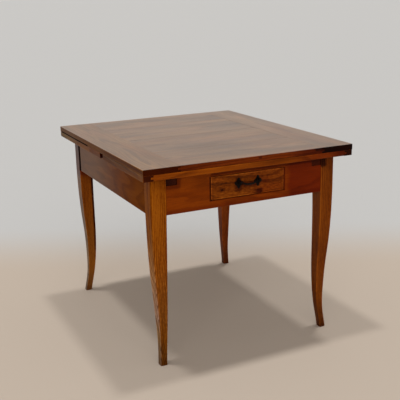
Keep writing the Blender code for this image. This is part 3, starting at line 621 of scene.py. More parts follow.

# Seam between top and leaf with painted shade in it, the crack along it, and the paler and darker bands
# beside it
RIM_SOFT = (0.0008, 0.05, 0.0015)
MIDDLE_SOFT = (LEFT_SOFT, 0.06, LEFT_SOFT)
# Painted shade in the seam between top and leaf
SEAM_SHADE = ((None, -0.36, 0.7568), (LEFT_ARRIS, None, 0.7592), (0.0005, 0.05, 0.0005), (0.45, 0.40, 0.38))
CRACK = ((None, 0.105, 0.7556), (LEFT_ARRIS, 0.485, 0.7614), EDGE_SOFT, (0.02, 0.01, 0.01))
PALER_BAND = ((None, None, 0.7500), (-0.4325, 0.0, 0.7566), (0.0008, 0.12, 0.0008), (0.84, 1.0, 2.8))
LEAF_MIDDLE = ((None, -0.37, None), (LEFT_EDGE, 0.0, None), MIDDLE_SOFT, (0.64, 0.62, 0.55))
LEAF_NEAR_RIM = (ANY, (LEFT_ARRIS, -0.37, 0.7415), RIM_SOFT, (1.2, 1.4, 1.3))
NEAR_RIM = ((None, None, 0.7625), (LEFT_ARRIS, -0.37, 0.7745), RIM_SOFT, (0.88, 0.76, 0.5))
# Upper left arris of the top: worn, and with a painted highlight along it
ARRIS_WEAR_AND_HIGHLIGHT = ((None, None, 0.7762), (-0.4330, -0.10, None), (0.0008, 0.08, 0.0008), (1.6, 1.75, 1.8))
UNDER_RIM = ((None, None, 0.7640), (LEFT_ARRIS, -0.10, 0.7765), (0.0008, 0.08, 0.0015), (0.80, 0.67, 0.54))
TOP_FACE = ((None, None, 0.7790), ANY, 0.0004, (1.05, 1.07, 1.09))
DARK_END = (ANY, (None, FRONT_EDGE, None), EDGE_SOFT, (0.21, 0.14, 0.23))
TOP_CLAMP_MARKS = {
    "left": TOP_LEFT_PAINTED_SHEEN + (SEAM_SHADE, CRACK, UNDER_RIM, NEAR_RIM, ARRIS_WEAR_AND_HIGHLIGHT, TOP_FACE),
    "right": (DARK_END,),
}
LEAF_CLAMP_MARKS = {
    "left": LEAF_LEFT_PAINTED_SHEEN + (SEAM_SHADE, CRACK, PALER_BAND, LEAF_MIDDLE, LEAF_NEAR_RIM),
    "right": (),
}

# Top boards: the first one's front edge with painted shade along its lower rim, its end and knot, and the
# crack between 2 and 3
TOP_BOARD_MARKS = {
    1: (
        (ANY, (None, FRONT_EDGE, None), EDGE_SOFT, (0.86, 0.74, 0.8)),
        # Painted shade along the lower rim of the front edge, where the top meets the leaf
        (ANY, (None, FRONT_EDGE, 0.7596), EDGE_SOFT, (0.36, 0.26, 0.3)),
        ((0.16, None, None), (None, FRONT_EDGE, None), (0.06, EDGE_SOFT, EDGE_SOFT), (0.55, 0.42, 0.6)),
        ((0.262, None, 0.769), (None, FRONT_EDGE, None), (0.006, EDGE_SOFT, 0.002), (0.25, 0.2, 0.3)),
        ((0.017, None, 0.7690), (0.031, FRONT_EDGE, 0.7770), 0.0025, (0.40, 0.25, 0.3)),
    ),
    2: (((-0.29, 0.0034, None), (0.20, None, None), 0.0012, (0.45, 0.38, 0.36)),),
    3: (
        ((-0.29, None, None), (0.20, 0.0065, None), 0.0010, (0.50, 0.42, 0.40)),
        ((-0.285, None, None), (-0.235, 0.0100, None), (0.004, 0.0012, 0.0012), (0.25, 0.18, 0.2)),
    ),
    4: (),
}

# Front edge of the front leaf: lighter on the left, darker on the right, darkest at its right end
LEAF_FRONT_MARKS = (
    (ANY, (-0.15, FRONT_EDGE, None), (0.10, EDGE_SOFT, EDGE_SOFT), (1.15, 1.14, 0.8)),
    ((0.20, None, None), (None, FRONT_EDGE, None), (0.09, EDGE_SOFT, EDGE_SOFT), (0.84, 0.59, 0.85)),
    ((0.345, None, None), (None, FRONT_EDGE, None), (0.03, EDGE_SOFT, EDGE_SOFT), (0.44, 0.32, 0.4)),
)
# Centre board: the left side's painted sheen, and painted shade on its face, set back in the slot
CENTRE_BOARD_MARKS = LEAF_LEFT_PAINTED_SHEEN + ((ANY, (None, -0.0505, None), 0.0004, (0.16, 0.09, 0.08)),)

# Front apron: painted shade on its right part, a darker underside, painted shade under the leaf along its
# upper line, a light patch, painted shade in the drawer gap, and painted shade round the left notch
APRON_FRONT_MARKS = (
    # Painted shade: the right part gets less light
    ((0.172, None, None), ANY, 0.022, (0.66, 0.37, 0.5)),
    (ANY, (None, None, 0.606), 0.006, (0.80, 0.66, 0.7)),
    # Painted shade under the leaf's overhang, from the drawer's left end rightwards
    ((-0.150, None, 0.7135), ANY, 0.003, (0.50, 0.38, 0.4)),
    ((-0.275, None, 0.672), (-0.16, None, None), 0.014, (1.18, 1.28, 1.1)),
    # Painted shade in the gaps beside and below the drawer
    ((-0.1575, None, 0.6190), (-0.1500, None, 0.7110), 0.001, (0.36, 0.28, 0.3)),
    ((0.1585, None, 0.6190), (0.1660, None, 0.7110), 0.001, (0.58, 0.40, 0.45)),
    ((-0.1575, None, 0.6170), (0.1660, None, 0.6225), 0.001, (0.74, 0.62, 0.65)),
    # Painted shade round the left notch
    ((None, None, 0.690), (-0.329, None, None), 0.003, (0.16, 0.10, 0.12)),
    ((-0.345, None, 0.684), (-0.272, None, None), 0.006, (0.62, 0.52, 0.5)),
)

# Left apron: painted sheen, a painted reflection, more of it towards the back, painted shade in the open
# joint and the light near corner
APRON_LEFT_MARKS = (
    all_over((0.90, 1.35, 2.4)),
    ((None, 0.0, None), ANY, 0.22, (0.86, 1.15, 2.4)),
    ((None, 0.377, None), ANY, 0.002, (0.04, 0.03, 0.03)),
    ((None, None, 0.7270), (None, -0.38, None), (0.001, 0.05, 0.002), (1.3, 1.7, 2.4)),
)
APRON_MARKS = {"front": APRON_FRONT_MARKS, "back": (), "left": APRON_LEFT_MARKS, "right": ()}

# Drawer front: painted highlights on its rims, darker and lighter patches, painted shadow beneath the bail
# and round the left post, where there is grime too, and its two knots as place and size
DRAWER_MARKS = (
    ((0.062, None, 0.658), (0.092, None, 0.684), 0.006, (0.80, 0.68, 0.75)),
    # Painted highlight on the right rim
    ((0.1548, None, None), ANY, 0.001, (1.5, 1.5, 2.5)),
    ((0.062, None, None), (0.150, None, 0.652), 0.008, (1.22, 1.15, 1.0)),
    ((0.010, None, None), ANY, 0.030, (0.84, 0.72, 0.7)),
    # Painted highlights on the left and top rims
    (ANY, (-0.1472, None, None), 0.001, (1.5, 1.5, 2.5)),
    ((None, None, 0.7052), ANY, 0.001, (1.3, 1.3, 2.0)),
    # Grime and painted shadow round the left post, then painted shadow beneath the bail
    ((-0.052, None, 0.640), (-0.024, None, 0.694), 0.006, (0.45, 0.36, 0.4)),
    ((-0.030, None, 0.652), (0.042, None, 0.672), 0.006, (0.55, 0.42, 0.45)),
    ((-0.14, None, 0.690), (-0.10, None, 0.703), 0.008, (1.3, 1.25, 1.6)),
    ((-0.1095, None, 0.6515), (-0.1025, None, 0.6585), 0.003, (0.42, 0.22, 0.3)),
    ((0.040, None, 0.624), (0.064, None, 0.640), 0.004, (0.60, 0.36, 0.4)),
)
DRAWER_KNOTS = ((-0.106, 0.655, 0.0045), (0.050, 0.632, 0.005))

# Legs: all of them greyer low down and dark at the toe, then each one's own
LEG_MARKS = (
    (ANY, (None, None, 0.36), 0.14, (0.93, 1.15, 2.4)),
    (ANY, (None, None, 0.10), 0.05, (0.76, 0.86, 1.5)),
    (ANY, (None, None, 0.022), 0.012, (0.72, 0.70, 0.8)),
)
LEG_OWN_MARKS = {
    "leg_front_left": (
        ((None, None, 0.4490), (-0.3822, -0.4490, 0.4570), 0.0012, (0.30, 0.22, 0.3)),
        (ANY, (None, None, 0.30), 0.12, (1.06, 1.16, 1.6)),
        (ANY, (None, None, 0.15), 0.05, (0.91, 0.81, 0.40)),
        ((None, None, 0.16), (None, None, 0.46), 0.06, (1.13, 1.14, 1.3)),
    ),
    # Front right leg: a darker patch at its top, painted shade over the whole leg as less light falls on
    # the right, and warmer low down
    "leg_front_right": (
        ((None, None, 0.690), (0.352, -0.430, None), 0.006, (0.22, 0.16, 0.20)),
        all_over((0.64, 0.54, 0.5)),
        (ANY, (None, None, 0.36), 0.14, (1.14, 0.97, 0.55)),
    ),
    # Back left leg: darker all over, painted shade inside the frame above the apron's underside and just
    # below it, and a darker line along its inner edge low down
    "leg_back_left": (
        all_over((0.80, 0.74, 0.8)),
        ((None, None, 0.590), (None, 0.4000, None), 0.0015, (0.10, 0.06, 0.06)),
        ((None, None, 0.562), ANY, 0.012, (0.60, 0.34, 0.5)),
        ((-0.3405, None, 0.290), ANY, (0.0010, 0.001, 0.03), (0.20, 0.12, 0.2)),
        ((-0.3425, None, 0.200), (None, None, 0.290), (0.0015, 0.001, 0.03), (0.36, 0.24, 0.3)),
    ),
    # Back right leg: painted shade all over, as it stands in shade
    "leg_back_right": (all_over((0.95, 0.62, 0.8)),),
}

# Left sides of the left legs: tint of painted sheen and shade, tint low down and polish; and the left
# apron's polish along Y
LEG_LEFT_LIGHT_AND_POLISH = {
    "leg_front_left": ((0.75, 0.75, 0.46), (2.1, 3.8, 33.0), None),
    "leg_back_left": ((0.70, 1.08, 2.8), None, 0.50),
}
LEFT_APRON_POLISH = (1, -0.34, 0.26, 0.65)

# End grain that is darker or lighter than usual
TOP_CLAMP_END = (0.28, 0.22, 0.22)
LEAF_CLAMP_END = (0.22, 0.14, 0.20)
LEAF_DARKEST_END = (0.10, 0.07, 0.10)
CENTRE_BOARD_END = (0.85, 0.75, 0.75)
RUNNER_ENDS = {"left": (0.95, 0.50, 0.45), "right": (1.3, 0.52, 0.3)}


# Shapes


def smooth(places, values, at):
    """Value at a place on a smooth curve through a table."""
    last = len(places) - 1
    index = min(max(k for k in range(last + 1) if places[k] <= at), last - 1)

    def slope(k):
        before = max(k - 1, 0)
        after = min(k + 1, last)
        return (values[after] - values[before]) / (places[after] - places[before])

    span = places[index + 1] - places[index]
    t = (at - places[index]) / span
    rise = values[index + 1] - values[index]
    start = slope(index) * span
    end = slope(index + 1) * span
    cubic = t**3 * (start + end - 2 * rise)
    return values[index] + t * start + t * t * (3 * rise - 2 * start - end) + cubic


def add_object(name, data):
    """Links a new object."""
    made = bpy.data.objects.new(name, data)
    bpy.context.scene.collection.objects.link(made)
    return made


def settle(piece):
    """Applies a piece's modifiers, so that its mesh is plain."""
    evaluated = piece.evaluated_get(bpy.context.evaluated_depsgraph_get())
    mesh = bpy.data.meshes.new_from_object(evaluated)
    piece.modifiers.clear()
    piece.data = mesh


def shade(piece):
    """Smooth shading that keeps flat faces flat."""
    for face in piece.data.polygons:
        face.use_smooth = True
    weighted = piece.modifiers.new("weighted", "WEIGHTED_NORMAL")
    weighted.keep_sharp = True
    weighted.weight = 100
    settle(piece)


def stand_for(piece, node):
    """Makes a finished piece ride and look in place of a node."""
    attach(piece, frame["nodes"][node]["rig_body"])
    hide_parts(node)


def is_sharp(edge):
    """Whether two faces meet at an edge in a clear angle."""
    return len(edge.link_faces) == 2 and edge.calc_face_angle(0) > SHARP_ANGLE


def eased(node, material, radius=EASING, segments=3):
    """Piece like a node, with its sharp edges eased."""
    bm = bmesh.new()
    bm.from_mesh(frame["nodes"][node].data)
    bmesh.ops.remove_doubles(bm, verts=bm.verts, dist=WELD)
    bmesh.ops.dissolve_limit(bm, angle_limit=FLAT_ANGLE, verts=bm.verts, edges=bm.edges)
    sharp = [edge for edge in bm.edges if is_sharp(edge)]
    bmesh.ops.bevel(
        bm, geom=sharp, offset=radius, segments=segments, profile=0.5, affect="EDGES", clamp_overlap=True
    )
    bmesh.ops.triangulate(bm, faces=[face for face in bm.faces if len(face.verts) > 4])
    low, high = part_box(node)
    for vert in bm.verts:
        vert.co = [min(max(at, a), b) for at, a, b in zip(vert.co, low, high)]
    mesh = bpy.data.meshes.new(f"{node}_eased")
    bm.to_mesh(mesh)
    bm.free()
    mesh.materials.append(material)
    piece = add_object(f"{node}_eased", mesh)
    shade(piece)
    stand_for(piece, node)
    return piece


def leg_section(g, size):
    """Square with soft corners, softest at the outer one, that keeps where its corners are."""
    side = size["Side"]
    corner = size["Corner Radius"]
    half = side / 2
    square = g.node("GeometryNodeCurvePrimitiveQuadrilateral", None, {"Width": side, "Height": side})
    sockets = {"Geometry": square, "Offset": g.vector(half, half, 0.0)}
    moved = g.node("GeometryNodeSetPosition", None, sockets)
    cut = g.node("GeometryNodeSubdivideCurve", None, {"Curve": moved, "Cuts": 5})
    x, y = g.position()[:2]
    off_x = g.math("MINIMUM", x, side - x)
    off_y = g.math("MINIMUM", y, side - y)
    at_corner = g.math("LESS_THAN", off_x + off_y, side * 0.05)
    at_arris = g.math("LESS_THAN", x + y, side * 0.05)
    kept = g.stored(cut, "worn", at_corner)
    radius = at_corner * corner + at_arris * (size["Arris Radius"] - corner)
    sockets = {"Curve": kept, "Count": 5, "Radius": radius}
    return g.node("GeometryNodeFilletCurve", {"mode": "POLY"}, sockets)


def leg_sweep(g, size, section):
    """Straight leg with its first ring low, for the foot's eased edge."""
    end = g.vector(0.0, 0.0, size["Top"])
    line = g.node("GeometryNodeCurvePrimitiveLine", None, {"Start": (0, 0, 0), "End": end})
    path = g.node("GeometryNodeResampleCurve", None, {"Curve": line, "Count": LEG_RINGS})
    settings = {"data_type": "INT", "operation": "EQUAL"}
    second = g.node("FunctionNodeCompare", settings, {2: g.node("GeometryNodeInputIndex"), 3: 1})
    low = g.vector(0.0, 0.0, size["Foot Easing"])
    sockets = {"Geometry": path, "Selection": second, "Position": low}
    path = g.node("GeometryNodeSetPosition", None, sockets)
    sockets = {"Curve": path, "Profile Curve": section, "Fill Caps": True}
    swept = g.node("GeometryNodeCurveToMesh", None, sockets)
    return g.node("GeometryNodeMergeByDistance", None, {"Geometry": swept, "Distance": WELD})


def leg_curve(g, size, straight):
    """Leg drawn in and out by its height, with its foot aside."""
    side = size["Side"]
    x, y, z = g.position()
    share = g.math("MINIMUM", z / size["Apron Underside"], 1.0)
    outer = g.shares(share, LEG_HEIGHT_SHARES, LEG_OUTER_SHARES) * side
    inner = (1 - g.shares(share, LEG_HEIGHT_SHARES, LEG_INNER_SHARES)) * side
    nip = g.math("MAXIMUM", size["Foot Easing"] - z, 0.0)
    strength = g.math("MAXIMUM", 1 - share / size["Drift Start Share"], 0.0) ** 2.0

    def drawn(at, drift):
        across = (at / side - CORNER_SHARE) / (1 - 2 * CORNER_SHARE)
        far = g.math("MINIMUM", g.math("MAXIMUM", across, 0.0), 1.0)
        return at + (1 - far) * (outer + nip) - far * (inner + nip) + drift * strength

    place = g.vector(drawn(x, size["Foot Drift X"]), drawn(y, size["Foot Drift Y"]), z)
    return g.node("GeometryNodeSetPosition", None, {"Geometry": straight, "Position": place})


def leg_mortises(g, size, leg):
    """Leg with its two mortises cut."""
    face = size["Mortise Face"]
    floor = size["Mortise Floor"]
    low = size["Mortise Low"]
    high = size["Mortise High"]
    back = face + size["Mortise Thickness"]
    past = size["Side"] * 1.05
    first = g.block((floor, face, low), (past, back, high))
    second = g.block((face, floor, low), (back, past, high))
    settings = {"operation": "DIFFERENCE", "solver": "EXACT"}
    for mortise in (first, second):
        leg = g.node("GeometryNodeMeshBoolean", settings, {"Mesh 1": leg, "Mesh 2": mortise})
    return leg


def leg_growth(names):
    """Tree of one leg with the named sizes: a square section, drawn in and out by its height."""
    g = Growth("curved_leg")
    size = {name: g.size(name) for name in names}
    place = g.size("Corner Place", "Vector")
    turn = g.size("Turn", "Vector")
    finish = g.size("Finish", "Material")
    straight = leg_sweep(g, size, leg_section(g, size))
    leg = leg_mortises(g, size, leg_curve(g, size, straight))
    sockets = {"Geometry": leg, "Translation": place, "Rotation": turn}
    g.end(g.node("GeometryNodeTransform", None, sockets), finish)
    return g


def leg_look(node, seed, heart):
    """Wood of a leg, hardly worn and less shiny on the one that stands nearest."""
    nearest = node == "leg_front_left"
    return wood(
        f"{node}_wood",
        "leg",
        "Z",
        seed,
        heart,
        figure=1.5,
        speckle=0.85,
        wear=0.12 if nearest else 0.45,
        marks=LEG_MARKS + LEG_OWN_MARKS[node],
        left=LEG_LEFT_LIGHT_AND_POLISH.get(node),
        shine=LEFT_SHINE if nearest else SHINE,
    )


def leg_sizes(under, top):
    """Sizes that all legs share, for aprons whose underside is at that height."""
    half_play = (APRON_THICK - TENON_THICK) / 2
    tenon_length = LEG_SIDE - APRON_SETBACK - (APRON_THICK + TENON_THICK) / 2 - TENON_APART
    return {
        "Side": LEG_SIDE,
        "Arris Radius": LEG_ARRIS,
        "Corner Radius": LEG_CORNER,
        "Apron Underside": under,
        "Top": top,
        "Foot Easing": FOOT_EASING,
        "Drift Start Share": DRIFT_START_SHARE,
        "Mortise Face": APRON_SETBACK + half_play - SEAT_GAP,
        "Mortise Thickness": TENON_THICK + 2 * SEAT_GAP,
        "Mortise Floor": LEG_SIDE - tenon_length,
        "Mortise Low": under + TENON_RISE - SEAT_GAP,
        "Mortise High": top - RUNNER_DEPTH - TENON_DROP,
    }


def build_legs():
    """Four legs, each turned so that its own X and Y run inwards from its outer corner."""
    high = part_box("leg_back_right")[1]
    shared = leg_sizes(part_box("apron_right")[0].z, high.z)
    g = leg_growth([*shared, "Foot Drift X", "Foot Drift Y"])
    corners = (
        ("leg_front_left", -1, -1, (FRONT_LEFT_DRIFT, 0.0)),
        ("leg_front_right", 1, -1, (0.0, 0.0)),
        ("leg_back_right", 1, 1, (0.0, 0.0)),
        ("leg_back_left", -1, 1, (0.0, -BACK_LEFT_DRIFT)),
    )
    for quarter, (node, side_x, side_y, drift) in enumerate(corners):
        own = {
            "Foot Drift X": drift[0],
            "Foot Drift Y": drift[1],
            "Corner Place": (side_x * high.x, side_y * high.y, 0.0),
            "Turn": (0.0, 0.0, quarter * math.pi / 2),
            "Finish": leg_look(node, 91 + quarter * 2.3, (side_x * 0.30, side_y * 0.40)),
        }
        piece = g.grow(f"{node}_curved", {**shared, **own})
        shade(piece)
        stand_for(piece, node)


def bail_growth():
    """Tree of the bail: straight pins at its ends and a hanging curve, thickest in the middle."""
    g = Growth("hanging_bail")
    tip = g.size("Half Length")
    reach = g.size("Half Curve")
    drop = g.size("Drop")
    power = g.size("Flatness")
    end_radius = g.size("End Radius")
    middle_radius = g.size("Middle Radius")
    place = g.size("Place", "Vector")
    finish = g.size("Finish", "Material")
    sockets = {"Start": g.vector(-1 * tip, 0.0, 0.0), "End": g.vector(tip, 0.0, 0.0)}
    line = g.node("GeometryNodeCurvePrimitiveLine", None, sockets)
    path = g.node("GeometryNodeResampleCurve", None, {"Curve": line, "Count": BAIL_RINGS})
    x = g.position()[0]
    out = g.math("MINIMUM", g.math("ABSOLUTE", x) / reach, 1.0)
    swell = 1 - out * out
    path = g.stored(path, "worn", swell)
    sockets = {"Curve": path, "Radius": end_radius + (middle_radius - end_radius) * swell}
    path = g.node("GeometryNodeSetCurveRadius", None, sockets)
    sockets = {"Geometry": path, "Position": g.vector(x, 0.0, drop * (out**power - 1))}
    path = g.node("GeometryNodeSetPosition", None, sockets)
    ring = g.node("GeometryNodeCurvePrimitiveCircle", None, {"Resolution": 20, "Radius": 1.0})
    thick = g.node("GeometryNodeInputRadius")
    sockets = {"Curve": path, "Profile Curve": ring, "Scale": thick, "Fill Caps": True}
    swept = g.node("GeometryNodeCurveToMesh", None, sockets)
    g.end(g.node("GeometryNodeTransform", None, {"Geometry": swept, "Translation": place}), finish)
    return g


def build_bail(look):
    """Bail between the two posts."""
    low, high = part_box("pull_bail")
    sizes = {
        "Half Length": PULL_SPACING / 2 + POST_NECK,
        "Half Curve": PULL_SPACING / 2 - POST_BALL - BAIL_SIDE_CLEARANCE,
        "Drop": BAIL_DROP,
        "Flatness": float(BAIL_CURVE),
        "End Radius": BAIL_END_RADIUS,
        "Middle Radius": BAIL_MIDDLE_RADIUS,
        "Place": ((low.x + high.x) / 2, (low.y + high.y) / 2, high.z - BAIL_END_RADIUS),
        "Finish": look,
    }
    piece = bail_growth().grow("pull_bail_forged", sizes)
    for face in piece.data.polygons:
        face.use_smooth = True
    stand_for(piece, "pull_bail")


def post_profile():
    """Post from its ball end down through neck and collar to the shank's tip, as radius and height."""
    points = [(0.0, POST_STANDOFF + POST_BALL)]
    for k in range(1, 15):
        angle = math.radians(90 - k * 9.1)
        points.append((POST_BALL * math.cos(angle), POST_STANDOFF + POST_BALL * math.sin(angle)))
    collar_top = PLATE_THICK + POST_COLLAR / 2
    waist = (points[-1][1] + collar_top) / 2
    points += [(POST_NECK, waist + 0.0004), (POST_NECK, waist - 0.0002)]
    for k in range(7):
        angle = math.radians(80 - k * 26)
        bead = POST_COLLAR - BEAD_RADIUS + BEAD_RADIUS * math.cos(angle)
        points.append((bead, collar_top - BEAD_RADIUS + BEAD_RADIUS * math.sin(angle)))
    foot = POST_COLLAR - COLLAR_INSET
    points += [(foot, PLATE_THICK), (foot, PLATE_THICK / 2)]
    return points + [(SHANK_RADIUS, PLATE_THICK / 2), (SHANK_RADIUS, -SHANK_DEPTH), (0.0, -SHANK_DEPTH)]


def turned(profile, steps):
    """Closed shape turned round Z from a profile of radius and height, top to bottom."""
    bm = bmesh.new()
    verts = [bm.verts.new((radius, 0, height)) for radius, height in profile]
    edges = [bm.edges.new(pair) for pair in zip(verts, verts[1:])]
    outline = verts + edges
    full = 2 * math.pi
    bmesh.ops.spin(
        bm, geom=outline, cent=(0, 0, 0), axis=(0, 0, 1), angle=full, steps=steps, use_merge=True
    )
    bmesh.ops.remove_doubles(bm, verts=bm.verts, dist=WELD)
    bmesh.ops.recalc_face_normals(bm, faces=bm.faces)
    return bm


def plate():
    """Lobed plate with eased edges; its middle is below the post."""
    bm = bmesh.new()
    ring = []
    for k in range(PLATE_POINTS):
        angle = 2 * math.pi * k / PLATE_POINTS
        reach = (1 - PLATE_LOBE_SHARE * math.sin(2 * angle) ** 2) / 2
        x = PLATE_WIDTH * reach * math.cos(angle)
        ring.append(bm.verts.new((x, PLATE_HEIGHT * reach * math.sin(angle) - POST_RISE, 0)))
    face = bm.faces.new(ring)
    raised = bmesh.ops.extrude_face_region(bm, geom=[face])
    top = [item for item in raised["geom"] if isinstance(item, bmesh.types.BMVert)]
    bmesh.ops.translate(bm, verts=top, vec=(0, 0, PLATE_THICK))
    rim = [edge for edge in bm.edges if all(vert in top for vert in edge.verts)]
    bmesh.ops.bevel(bm, geom=rim, offset=PLATE_EASING, segments=2, profile=0.5, affect="EDGES")
    bmesh.ops.recalc_face_normals(bm, faces=bm.faces)
    return bm


def as_object(bm, name):
    """Object of an edited mesh."""
    mesh = bpy.data.meshes.new(name)
    bm.to_mesh(mesh)
    bm.free()
    return add_object(name, mesh)


def eye_rod():
    """Rod as thick as the bail's eye, across a post's ball."""
    across = Matrix.Translation((0, 0, POST_STANDOFF)) @ Matrix.Rotation(math.pi / 2, 4, "Y")
    radius = BAIL_END_RADIUS + EYE_PLAY
    bm = bmesh.new()
    bmesh.ops.create_cone(
        bm, cap_ends=True, segments=24, radius1=radius, radius2=radius, depth=4 * POST_BALL, matrix=across
    )
    return as_object(bm, "eye")


def forged_post(name):
    """Post joined with its plate, with the eye cut through its ball."""
    post = as_object(turned(post_profile(), 40), name)
    tools = ((as_object(plate(), "plate"), "UNION"), (eye_rod(), "DIFFERENCE"))
    for tool, operation in tools:
        boolean = post.modifiers.new(operation, "BOOLEAN")
        boolean.operation = operation
        boolean.object = tool
    settle(post)
    for tool, operation in tools:
        bpy.data.objects.remove(tool)
    return post


def build_posts(look):
    """Two posts, each with its shank in the drawer front and its ball outwards."""
    for side in SIDES:
        node = f"pull_post_{side}"
        low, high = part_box(node)
        place = ((low.x + high.x) / 2, high.y - SHANK_DEPTH, (low.z + high.z) / 2 + POST_RISE)
        post = forged_post(f"{node}_forged")
        post.data.transform(Matrix.Translation(place) @ Matrix.Rotation(math.pi / 2, 4, "X"))
        post.data.materials.clear()
        post.data.materials.append(look)
        post.data.set_sharp_from_angle(angle=CREASE_ANGLE)
        shade(post)
        stand_for(post, node)


# The stage


def aim_camera():
    """Camera at the photograph's angle."""
    level_x = math.sin(CAMERA_YAW) * math.cos(CAMERA_PITCH)
    level_y = math.cos(CAMERA_YAW) * math.cos(CAMERA_PITCH)
    forward = Vector((level_x, level_y, -math.sin(CAMERA_PITCH)))
    level = Vector((math.cos(CAMERA_YAW), -math.sin(CAMERA_YAW), 0))
    upward = level.cross(forward)
    right = math.cos(CAMERA_ROLL) * level + math.sin(CAMERA_ROLL) * upward
    up = -math.sin(CAMERA_ROLL) * level + math.cos(CAMERA_ROLL) * upward
    camera = add_object("camera", bpy.data.cameras.new("camera"))
    turn = Matrix((right, up, -forward)).transposed().to_4x4()
    camera.matrix_world = Matrix.Translation(CAMERA_PLACE) @ turn
    camera.data.sensor_width = SENSOR
    camera.data.lens = FOCAL_PIXELS / PICTURE_PIXELS * SENSOR
    bpy.context.scene.camera = camera


def add_floor():
    """Plain pale floor."""
    bm = bmesh.new()
    bmesh.ops.create_circle(bm, cap_ends=True, segments=96, radius=FLOOR_RADIUS)
    floor = as_object(bm, "floor")
    s = Shader("pale_floor")
    x, y = s.parts(s.coordinates("Object"))[:2]
    away = x * math.sin(CAMERA_YAW) + y * math.cos(CAMERA_YAW)
    far = s.step(away, 0.45, 1.25)
    colour = s.mix(far, linear(190, 177, 163), linear(193, 194, 194))
    shader = s.node("ShaderNodeBsdfPrincipled", None, {"Base Color": colour, "Roughness": 0.8})
    s.node("ShaderNodeOutputMaterial", None, {"Surface": shader})
    floor.data.materials.append(s.material)


def add_lamp(name, source, strength, softness, colour, mirrored=True):
    """Distant soft lamp that shines from a direction, with or without a reflection in the wax."""
    lamp = bpy.data.lights.new(name, "SUN")
    lamp.energy = strength
    lamp.angle = math.radians(softness)
    lamp.color = colour
    item = add_object(name, lamp)
    item.rotation_euler = Vector(source).to_track_quat("Z", "Y").to_euler()
    item.visible_glossy = mirrored


def light_scene():
    """A pale surround, two lamps overhead and a softer one from the front left."""
    world = bpy.data.worlds.new("surround")
    bpy.context.scene.world = world
    world.use_nodes = True
    g = Graph(world.node_tree)
    path = g.node("ShaderNodeLightPath")
    dim = g.node("ShaderNodeBackground", None, {"Color": (1.0, 0.94, 0.89, 1), "Strength": 0.42})
    pale = g.node("ShaderNodeBackground", None, {"Color": (1.0, 0.96, 0.91, 1), "Strength": 0.63})
    seen = g.math("MAXIMUM", path.outputs["Is Camera Ray"], path.outputs["Is Glossy Ray"])
    both = g.node("ShaderNodeMixShader", None, {0: seen, 1: dim, 2: pale})
    g.node("ShaderNodeOutputWorld", None, {"Surface": both})
    add_lamp("ceiling_left", (-0.19, 0.08, 1.0), 0.77, 5, (1.0, 0.99, 0.97))
    add_lamp("ceiling_right", (0.19, 0.08, 1.0), 0.77, 5, (1.0, 0.99, 0.97))
    add_lamp("front_left", (-0.36, -1.0, 0.52), 1.15, 60, (1.0, 0.97, 0.94), False)
    bpy.context.scene.view_settings.view_transform = "Standard"


# Pieces in their own woods


def dress(node, tones, along, easing=EASING, **settings):
    """Makes a node's eased piece in a wood of its own."""
    look = wood(f"{node}_wood", tones, along, box=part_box(node), **settings)
    eased(node, look, easing)


def dress_top():
    """Loose top: four boards between two clamps, on two pegs."""
    shared = {"upper": "top", "gloss": TOP_GLOSS, "easing": TOP_EASING}
    for index, marks in TOP_BOARD_MARKS.items():
        node = f"top_board_{index}"
        low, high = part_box(node)
        heart = ((low.y + high.y) / 2, 0.70)
        seed = index * 1.9
        dress(
            node, "top_edge", "X", seed=seed, heart=heart, speckle=0.55, wear=0.25, marks=marks, **shared
        )
    for side in SIDES:
        node = f"top_clamp_{side}"
        low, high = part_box(node)
        dress(
            node,
            "top_edge",
            "Y",
            seed=11 + low.x,
            heart=((low.x + high.x) / 2, 0.69),
            figure=0.85,
            wear=0.2,
            marks=TOP_CLAMP_MARKS[side],
            end_tint=TOP_CLAMP_END,
            shine=LEFT_SHINE if side == "left" else SHINE,
            **shared,
        )
    pegs = wood("top_peg_wood", "inside", "Z", seed=17)
    for side in SIDES:
        eased(f"top_peg_{side}", pegs, PEG_EASING, 1)


def dress_leaf_boards(end, end_index):
    """Two boards of a leaf."""
    for row_index, row in enumerate(("outer", "inner")):
        seed = 21 + row_index * 3 + end_index * 5
        marks = LEAF_FRONT_MARKS if (end, row) == ("front", "outer") else ()
        dress(f"leaf_{end}_board_{row}", "leaf", "X", seed=seed, heart=(0, 0.68), wear=0.35, marks=marks)


def dress_leaf_side(end, side, seed):
    """Clamp and runner on one side of a leaf."""
    dress(
        f"leaf_{end}_clamp_{side}",
        "leaf",
        "Y",
        seed=seed,
        heart=(0, 0.70),
        wear=0.3,
        marks=LEAF_CLAMP_MARKS[side],
        end_tint=LEAF_DARKEST_END if (end, side) == ("front", "right") else LEAF_CLAMP_END,
    )
    own = {"end_tint": RUNNER_ENDS[side], "gloss": RUNNER_GLOSS}
    dress(f"leaf_{end}_runner_{side}", "runner", "Y", seed=seed + 10, heart=(0, 0.6), **own)


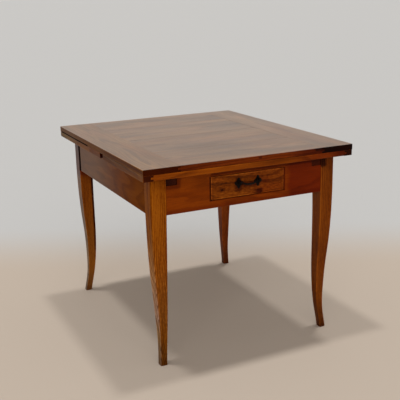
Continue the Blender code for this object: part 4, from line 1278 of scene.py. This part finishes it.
def dress_leaves():
    """Two leaves with their runners and stop pegs, and the board between them."""
    pegs = wood("stop_peg_wood", "inside", "Z", seed=19)
    for end_index, end in enumerate(("front", "back")):
        dress_leaf_boards(end, end_index)
        for side_index, side in enumerate(SIDES):
            dress_leaf_side(end, side, 31 + end_index + side_index * 2)
            eased(f"leaf_{end}_stop_{side}", pegs, PEG_EASING, 1)
    own = {"marks": CENTRE_BOARD_MARKS, "end_tint": CENTRE_BOARD_END}
    dress("centre_board", "leaf", "X", seed=51, heart=(0, 0.66), wear=0.3, **own)


def dress_aprons():
    """Four aprons; the left one shines less than the others and is polished towards its back."""
    aprons = (("front", "X"), ("back", "X"), ("left", "Y"), ("right", "Y"))
    for index, (side, along) in enumerate(aprons):
        dress(
            f"apron_{side}",
            "apron",
            along,
            seed=61 + index * 2.3,
            heart=(0.52, 0.66),
            figure=0.75,
            wear=0.25,
            marks=APRON_MARKS[side],
            polish=LEFT_APRON_POLISH if side == "left" else None,
            shine=LEFT_APRON_SHINE if side == "left" else SHINE,
        )


def dress_inside():
    """Cross rails, drawer runners, and the drawer behind its front."""
    across = wood("inside_across", "inside", "X", seed=71, gloss=INSIDE_GLOSS)
    lengthwise = wood("inside_lengthwise", "inside", "Y", seed=72, gloss=INSIDE_GLOSS)
    for node in ("cross_rail_front", "cross_rail_back", "drawer_back", "drawer_bottom"):
        eased(node, across)
    for side in SIDES:
        for piece in ("drawer_bearer", "drawer_kicker", "drawer_side"):
            eased(f"{piece}_{side}", lengthwise)


def dress_drawer_front():
    """Drawer front with its knots, its darker and lighter patches, and painted highlights and shadow."""
    dress(
        "drawer_front",
        "drawer",
        "X",
        easing=DRAWER_FRONT_EASING,
        seed=83.5,
        heart=(0.46, 0.60),
        figure=1.1,
        speckle=1.2,
        wear=0.55,
        knots=DRAWER_KNOTS,
        marks=DRAWER_MARKS,
    )


aim_camera()
add_floor()
light_scene()
dress_top()
dress_leaves()
dress_aprons()
dress_inside()
dress_drawer_front()
build_legs()
black_iron = iron("black_iron")
build_posts(black_iron)
build_bail(black_iron)
